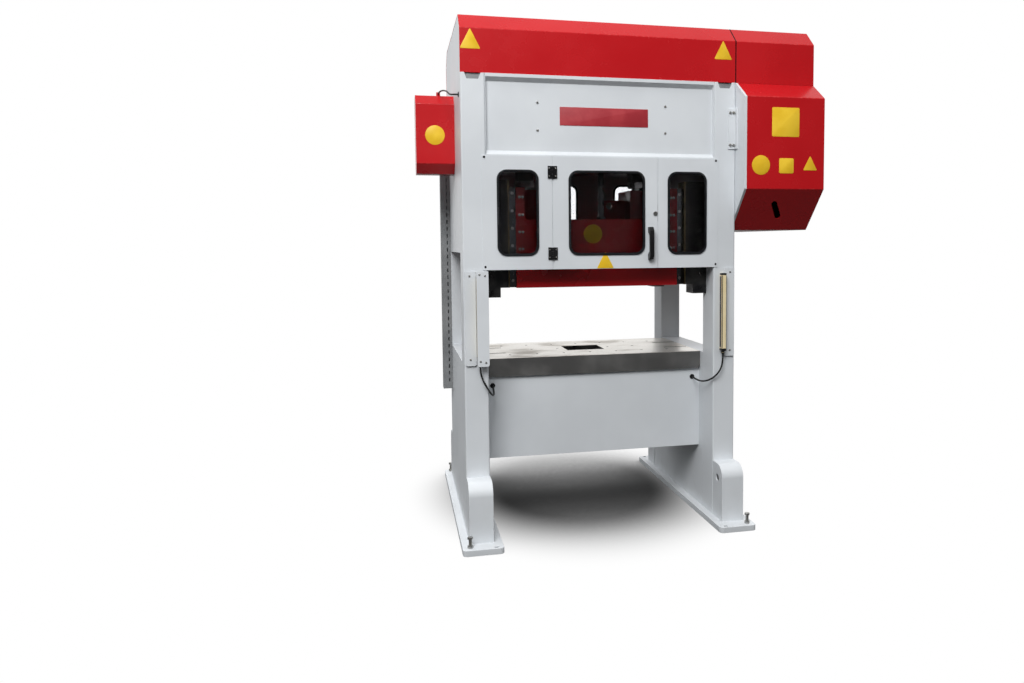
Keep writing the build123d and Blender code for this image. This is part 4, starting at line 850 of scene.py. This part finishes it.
def fillerStrip(left, right, place):
    # the strip that locks a rubber frame, a thin ring just proud of the rubber
    inset, band = guard["stripInset"], guard["stripWidth"]
    wide = right - left - 2 * inset
    high = guard["windowHigh"] - guard["windowLow"] - 2 * inset
    shape = bmesh.new()
    bmesh.ops.create_circle(shape, cap_ends=True, segments=4, radius=1.0)
    bmesh.ops.rotate(shape, verts=shape.verts, cent=(0, 0, 0), matrix=Matrix.Rotation(quarter, 3, "Z"))
    side = math.sqrt(2)
    bmesh.ops.scale(shape, verts=shape.verts, vec=(wide * mm / side, high * mm / side, 1))
    rounded(shape, shape.verts[:], (guard["corner"] - inset) * mm, 12, "VERTICES")
    bmesh.ops.inset_individual(shape, faces=shape.faces[:], thickness=band * mm, use_even_offset=True)
    inner = max(shape.faces, key=lambda face: face.calc_area())
    bmesh.ops.delete(shape, geom=[inner], context="FACES_ONLY")
    return stamp(thicken(shape, guard["stripThick"], guard["stripEdge"]), [place])


def stripPlace(left, right, rear=False):
    middleZ = (guard["windowLow"] + guard["windowHigh"]) / 2
    y = guard["gasketFace"] if rear else -guard["gasketFace"]
    return facing(((left + right) / 2, y, middleZ), toRear if rear else toFront)


fixedStrips = bmesh.new()
for left, right in guard["fixedWindows"]:
    stamp(fillerStrip(left, right, stripPlace(left, right)), asMade, fixedStrips)
for step in (-1, 0, 1):
    left = step * guard["rearOffset"] - guard["rearWidth"] / 2
    right = left + guard["rearWidth"]
    stamp(fillerStrip(left, right, stripPlace(left, right, True)), asMade, fixedStrips)
addPiece("gasketStrips", fixedStrips, ["filler"])
left, right = guard["doorWindow"]
addPiece("doorGasketStrip", fillerStrip(left, right, stripPlace(left, right)), ["filler"], "door")

guardScrews = []
for screwX in guard["screwX"]:
    for screwZ in guard["screwZ"]:
        guardScrews.append(facing((screwX, guardFace, screwZ), toFront))
        guardScrews.append(facing((screwX, -guardFace, screwZ), toRear))
addPiece("guardScrews", stamp(buttonScrew(*guard["screw"]), guardScrews), ["black"])
for side, body, pieceName in ((-1, "press_frame", "hingeScrewsFixed"), (1, "door", "hingeScrewsDoor")):
    screwX = guard["hingeX"] + side * guard["hingeScrewX"]
    places = []
    for hingeZ in guard["hingeZ"]:
        for screwZ in (hingeZ - guard["hingeScrewZ"], hingeZ + guard["hingeScrewZ"]):
            places.append(facing((screwX, -guard["hingeFace"], screwZ), toFront))
    addPiece(pieceName, stamp(buttonScrew(*guard["hingeScrew"]), places), ["zinc"], body)


def softBox(spanX, spanY, spanZ, edge):
    # a block between two corners, with its edges broken; each span may be given either way round
    spans = (spanX, spanY, spanZ)
    low = Vector([min(span) for span in spans]) * mm
    high = Vector([max(span) for span in spans]) * mm
    shape = bmesh.new()
    bmesh.ops.create_cube(shape, size=1.0)
    bmesh.ops.scale(shape, verts=shape.verts, vec=high - low)
    bmesh.ops.translate(shape, verts=shape.verts, vec=(low + high) / 2)
    rounded(shape, shape.edges[:], edge * mm)
    return shape


# folded strips behind the door's two upright gaps, fixed to the side panels
flanges = {
    "y": (-484.8, -483.2), "left": (-270, -252), "right": (272, 290), "edge": 0.4,
    "leftSpans": ((1330, 1876),), "rightSpans": ((1330, 1560), (1645, 1876)),  # the right one clears the lock
}
flangeShape = bmesh.new()
for side in ("left", "right"):
    for span in flanges[side + "Spans"]:
        stamp(softBox(flanges[side], flanges["y"], span, flanges["edge"]), asMade, flangeShape)
addPiece("guardFlanges", flangeShape, ["white"])
print("guard finished")

# Guides: rows of cap screws on the gibs and hexagon bolts on the slide's pads
guides = {
    "gibFace": -387, "gibScrewX": 552, "gibLow": 1215, "gibHigh": 1745, "gibCount": 8, "gibScrew": (9, 9),
    "barFace": -360, "barScrewX": 441, "barLow": 1270, "barHigh": 1705, "barCount": 6, "barScrew": (7.5, 7),
}


def screwRow(x, y, low, high, count, outward):
    return [facing((x, y, low + (high - low) * step / (count - 1)), outward) for step in range(count)]


gibScrews = []
barScrews = []
for side in (-1, 1):
    for way, outward in ((1, toFront), (-1, toRear)):
        gibScrews += screwRow(side * guides["gibScrewX"], way * guides["gibFace"], guides["gibLow"],
                              guides["gibHigh"], guides["gibCount"], outward)
        barScrews += screwRow(side * guides["barScrewX"], way * guides["barFace"], guides["barLow"],
                              guides["barHigh"], guides["barCount"], outward)
addPiece("gibScrews", stamp(capScrew(*guides["gibScrew"]), gibScrews), ["black"])
addPiece("guideBarScrews", stamp(capScrew(*guides["barScrew"]), barScrews), ["zinc"], "slide")
pads = {"x": (390, 406), "z": (1427, 1512, 1597, 1686), "bolt": (10, 5)}
padBolts = []
for padZ in pads["z"]:
    for padX in pads["x"]:
        for side in (-1, 1):
            padBolts.append(facing((side * padX, slideFace, padZ), toFront))
            padBolts.append(facing((side * padX, -slideFace, padZ), toRear))
addPiece("padBolts", stamp(hexBolt(*pads["bolt"]), padBolts), ["zinc"], "slide")

# Light curtains: lens strips, end caps, glands and the screws of their covers
curtain = {
    "inner": 613, "outer": 639, "front": -526, "back": -494, "low": 908, "high": 1286,
    "lensWidth": 20, "lensInset": 6, "lensProud": 1.2, "lensSunk": 0.4, "lensEdge": 0.4,
    "capInset": 0.6, "capLow": (895.6, 917), "capHigh": (1277, 1296.4), "capEdge": 1.5,
    "bandX": ((614, 617.5), (636, 638)), "bandY": (-526.4, -525), "bandInset": 4, "bandEdge": 0.2,
    "gland": [(8.6, 0), (8.6, 5), (7.6, 6), (8.6, 7), (8.6, 15.5), (5, 15.5)], "glandLow": 880,
}


def onSide(side, span):
    return tuple(side * spot for spot in span)


lenses = bmesh.new()
caps = bmesh.new()
middleX = (curtain["inner"] + curtain["outer"]) / 2
middleY = (curtain["front"] + curtain["back"]) / 2
lensX = (curtain["inner"] - curtain["lensProud"], curtain["inner"] + curtain["lensSunk"])
lensY = (middleY - curtain["lensWidth"] / 2, middleY + curtain["lensWidth"] / 2)
lensZ = (curtain["low"] + curtain["lensInset"], curtain["high"] - curtain["lensInset"])
capX = (curtain["inner"] + curtain["capInset"], curtain["outer"] - curtain["capInset"])
capY = (curtain["front"] + curtain["capInset"], curtain["back"] - curtain["capInset"])
bandZ = (curtain["low"] + curtain["bandInset"], curtain["high"] - curtain["bandInset"])
for side in (-1, 1):
    for way in (-1, 1):
        lens = softBox(onSide(side, lensX), onSide(way, lensY), lensZ, curtain["lensEdge"])
        stamp(lens, asMade, lenses)
        for capZ in (curtain["capLow"], curtain["capHigh"]):
            cap = softBox(onSide(side, capX), onSide(way, capY), capZ, curtain["capEdge"])
            stamp(cap, asMade, caps)
        place = facing((side * middleX, way * middleY, curtain["glandLow"]), toTop)
        stamp(turned(curtain["gland"], 20), [place], caps)
        for bandX in curtain["bandX"]:
            band = softBox(onSide(side, bandX), onSide(way, curtain["bandY"]), bandZ, curtain["bandEdge"])
            stamp(band, asMade, caps)
addPiece("curtainLenses", lenses, ["lens"])
addPiece("curtainEndCaps", caps, ["plastic"])

# screws of the curtain covers: one row beside each curtain, and pairs on the two deep covers at the left
coverScrew = {
    "sideX": (-671, 671), "sideY": -494, "sideZ": (895, 1300),
    "deepX": (-600, -626), "deepY": -531, "deepZ": (884, 1302), "deepRise": (0, 6), "screw": (5, 3),
}
coverScrews = []
for screwX in coverScrew["sideX"]:
    for way, outward in ((1, toFront), (-1, toRear)):
        for screwZ in coverScrew["sideZ"]:
            coverScrews.append(facing((screwX, way * coverScrew["sideY"], screwZ), outward))
for way, outward in ((1, toFront), (-1, toRear)):
    for screwZ in coverScrew["deepZ"]:
        for screwX, rise in zip(coverScrew["deepX"], coverScrew["deepRise"]):
            coverScrews.append(facing((screwX, way * coverScrew["deepY"], screwZ + rise), outward))
addPiece("curtainCoverScrews", stamp(buttonScrew(*coverScrew["screw"]), coverScrews), ["zinc"])
print("light curtains finished")

# Grommets where the cables go into the frame
grommets = {
    "profile": [(4.8, 0), (4.8, 3.4), (8, 4.6), (12, 3.2), (13.5, 0)],
    "curtains": ((-542, -289, 728), (542, -289, 728)), "encoder": (-700, -398, 2176),
}
grommetPlaces = [facing(spot, toFront) for spot in grommets["curtains"]]
grommetPlaces.append(facing(grommets["encoder"], toLeft))
addPiece("cableGrommets", stamp(turned(grommets["profile"], 28), grommetPlaces), ["rubber"])

# Black discs in the ports of the toe boxes, painted shade of the dark holes, and grey plates behind the
# notches at the column tops, painted shade of the hollow columns' insides
toePortShade = {
    "x": 594, "y": 547.5, "z": 241.4,
    "profile": [(17.4, 0), (17.4, 4), (14.9, 5), (13.4, 3), (0, 2.5)],
}
portShadePlaces = []
for side, outward in ((1, toLeft), (-1, toRight)):
    for way in (-1, 1):
        portShadePlaces.append(facing((side * toePortShade["x"], way * toePortShade["y"], toePortShade["z"]), outward))
addPiece("toePortShadeDiscs", stamp(turned(toePortShade["profile"], 28), portShadePlaces), ["rubber"])
# grey plates that paint the shade inside the open column tops
notchShade = {"x": (600, 683), "y": (466, 472), "z": (2226, 2266), "edge": 1}
notchShadeShape = bmesh.new()
for side in (-1, 1):
    for way in (-1, 1):
        strip = softBox(onSide(side, notchShade["x"]), onSide(way, notchShade["y"]), notchShade["z"], notchShade["edge"])
        stamp(strip, asMade, notchShadeShape)
addPiece("columnTopShadePlates", notchShadeShape, ["duct"])


# The black seal in the joint between the two top covers, cut from the cover's own section
seal = {"thick": 3.4 * mm, "proud": 0.5 * mm, "underTop": 0.05 * mm}


def coverSeal():
    # it stands proud of the slopes, but stays just under the covers' flat top
    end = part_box("cover_extension")[0].x + seal["thick"]
    shape = bmesh.new()
    shape.from_mesh(frame["nodes"]["cover_extension"].data)
    bmesh.ops.remove_doubles(shape, verts=shape.verts, dist=weldGap)
    cut = bmesh.ops.bisect_plane(shape, geom=shape.verts[:] + shape.edges[:] + shape.faces[:],
                                 plane_co=(end, 0, 0), plane_no=(1, 0, 0), clear_outer=True)
    rim = [item for item in cut["geom_cut"] if isinstance(item, bmesh.types.BMEdge)]
    bmesh.ops.holes_fill(shape, edges=rim, sides=0)
    shape.normal_update()
    for vert in shape.verts:
        vert.co.y += vert.normal.y * seal["proud"]
        vert.co.z = min(vert.co.z + vert.normal.z * seal["proud"], cadBox[1][2] - seal["underTop"])
    bmesh.ops.recalc_face_normals(shape, faces=shape.faces)
    return shape


addPiece("coverJointSeal", coverSeal(), ["rubber"])

# Bolts of the drive bracket
bracket = {"x": (668, 686), "y": -491, "z": (1950, 2114), "bolt": (11, 6)}
bracketScrews = [facing((x, bracket["y"], z), toFront) for x in bracket["x"] for z in bracket["z"]]
addPiece("bracketScrews", stamp(hexBolt(*bracket["bolt"]), bracketScrews), ["zinc"])
print("small parts finished")


# Floor, world and lamp
room = {
    "floorSize": 40.0, "floorNear": (0.93, 0.93, 0.93), "floorBounce": (0.06, 0.06, 0.06),
    "floorMirror": 0.15, "fadeStart": 0.55, "fadeEnd": 1.25,
    "shadowMiddle": (0, -0.26, 0), "shadowStretch": (1.25, 1.0, 1),
    "shadowReach": 1.1, "shadowShare": 0.93, "shadowDepth": 3.9, "shadowSamples": 12,
    "skyLow": 0.25, "skyHigh": 1.30, "skyAhead": 0.45, "skyAbove": 0.90, "skySpan": (-0.35, 0.95),
    "glossLow": 0.08, "glossBehind": 1.05, "behindSpan": (0.15, 0.80),
    "glossAbove": 0.35, "aboveSpan": (0.40, 0.90), "throughPane": 2.3,
    "keyPlace": (-2.2, -4.8, 5.4), "keyAim": (0, 0, 1.0), "keySize": 3.0, "keyPower": 315,
}
plain = (1, 1, 1, 1)


def firstLook(coat):
    # 1 on a path that has met no matt surface yet, so that the white room adds no light to the press
    return 1 - coat.node("ShaderNodeLightPath", take="Diffuse Depth").between(0.2, 0.8)


def floorFinish():
    # a matt floor with a painted shadow under the press: a white glow darkened by ambient occlusion, laid
    # over a little of the lit floor, which fades into plain white
    coat = newFinish("studioFloor")
    path = {name: coat.node("ShaderNodeLightPath", take=name) for name in
            ("Is Camera Ray", "Is Glossy Ray", "Is Transmission Ray")}
    mirrored = path["Is Glossy Ray"] * room["floorMirror"]
    seen = path["Is Camera Ray"].most(mirrored).most(path["Is Transmission Ray"]) * firstLook(coat)
    colour = coat.tint(room["floorBounce"], room["floorNear"], seen)
    matt = coat.node("ShaderNodeBsdfDiffuse", sockets={"Color": colour})
    # this occlusion sets how dark the painted shadow under the press is
    sky = coat.node("ShaderNodeAmbientOcclusion", {"samples": room["shadowSamples"]},
                    {"Distance": room["shadowReach"]}, take="AO")
    paintedShadowLight = seen * sky.power(room["shadowDepth"])
    paintedShadowPool = coat.node("ShaderNodeEmission", sockets={"Color": plain, "Strength": paintedShadowLight})
    matt = coat.node("ShaderNodeMixShader", sockets={0: seen * room["shadowShare"], 1: matt, 2: paintedShadowPool})
    glow = coat.node("ShaderNodeEmission", sockets={"Color": plain, "Strength": seen})
    spot = coat.node("ShaderNodeMapping", {"vector_type": "POINT"}, {
        "Vector": coat.node("ShaderNodeTexCoord", take="Object"), "Location": room["shadowMiddle"],
        "Scale": room["shadowStretch"]})
    distance = coat.node("ShaderNodeVectorMath", {"operation": "LENGTH"}, {0: spot}, take="Value")
    far = distance.between(room["fadeStart"], room["fadeEnd"])
    mixed = coat.node("ShaderNodeMixShader", sockets={0: far, 1: matt, 2: glow})
    coat.node("ShaderNodeOutputMaterial", sockets={"Surface": mixed})
    return coat.owner


def layFloor():
    shape = bmesh.new()
    bmesh.ops.create_grid(shape, x_segments=1, y_segments=1, size=room["floorSize"] / 2)
    mesh = bpy.data.meshes.new("studioFloor")
    shape.to_mesh(mesh)
    shape.free()
    mesh.materials.append(floorFinish())
    floor = bpy.data.objects.new("studioFloor", mesh)
    bpy.context.scene.collection.objects.link(floor)


def lightRoom():
    # a white room that lights softly from the front and above, and one large key lamp
    world = bpy.data.worlds.new("studio")
    bpy.context.scene.world = world
    sky = Finish(world)
    direction = sky.node("ShaderNodeTexCoord", take="Generated")
    ahead = sky.node("ShaderNodeSeparateXYZ", sockets={"Vector": direction}, take=1)
    above = sky.node("ShaderNodeSeparateXYZ", sockets={"Vector": direction}, take=2)
    rise = (ahead * room["skyAhead"] + above * room["skyAbove"]).between(*room["skySpan"])
    field = room["skyLow"] + rise * (room["skyHigh"] - room["skyLow"])
    gloss = room["glossLow"] + ahead.between(*room["behindSpan"]) * room["glossBehind"]
    gloss = gloss + above.between(*room["aboveSpan"]) * room["glossAbove"]
    camera = sky.node("ShaderNodeLightPath", take="Is Camera Ray")
    through = sky.node("ShaderNodeLightPath", take="Is Transmission Ray")
    mirrored = sky.node("ShaderNodeLightPath", take="Is Glossy Ray") * firstLook(sky)
    seen = camera.most(through) * firstLook(sky)
    around = mirrored * gloss + (1 - mirrored) * field
    strength = seen + (1 - seen) * around + through * firstLook(sky) * room["throughPane"]
    glow = sky.node("ShaderNodeBackground", sockets={"Color": plain, "Strength": strength})
    sky.node("ShaderNodeOutputWorld", sockets={"Surface": glow})
    lamp = bpy.data.lights.new("keyLamp", "AREA")
    lamp.shape = "SQUARE"
    lamp.size = room["keySize"]
    lamp.energy = room["keyPower"]
    holder = bpy.data.objects.new("keyLamp", lamp)
    bpy.context.scene.collection.objects.link(holder)
    aim = Vector(room["keyAim"]) - Vector(room["keyPlace"])
    holder.location = room["keyPlace"]
    holder.rotation_euler = aim.to_track_quat("-Z", "Y").to_euler()


layFloor()
lightRoom()
print("room lit")
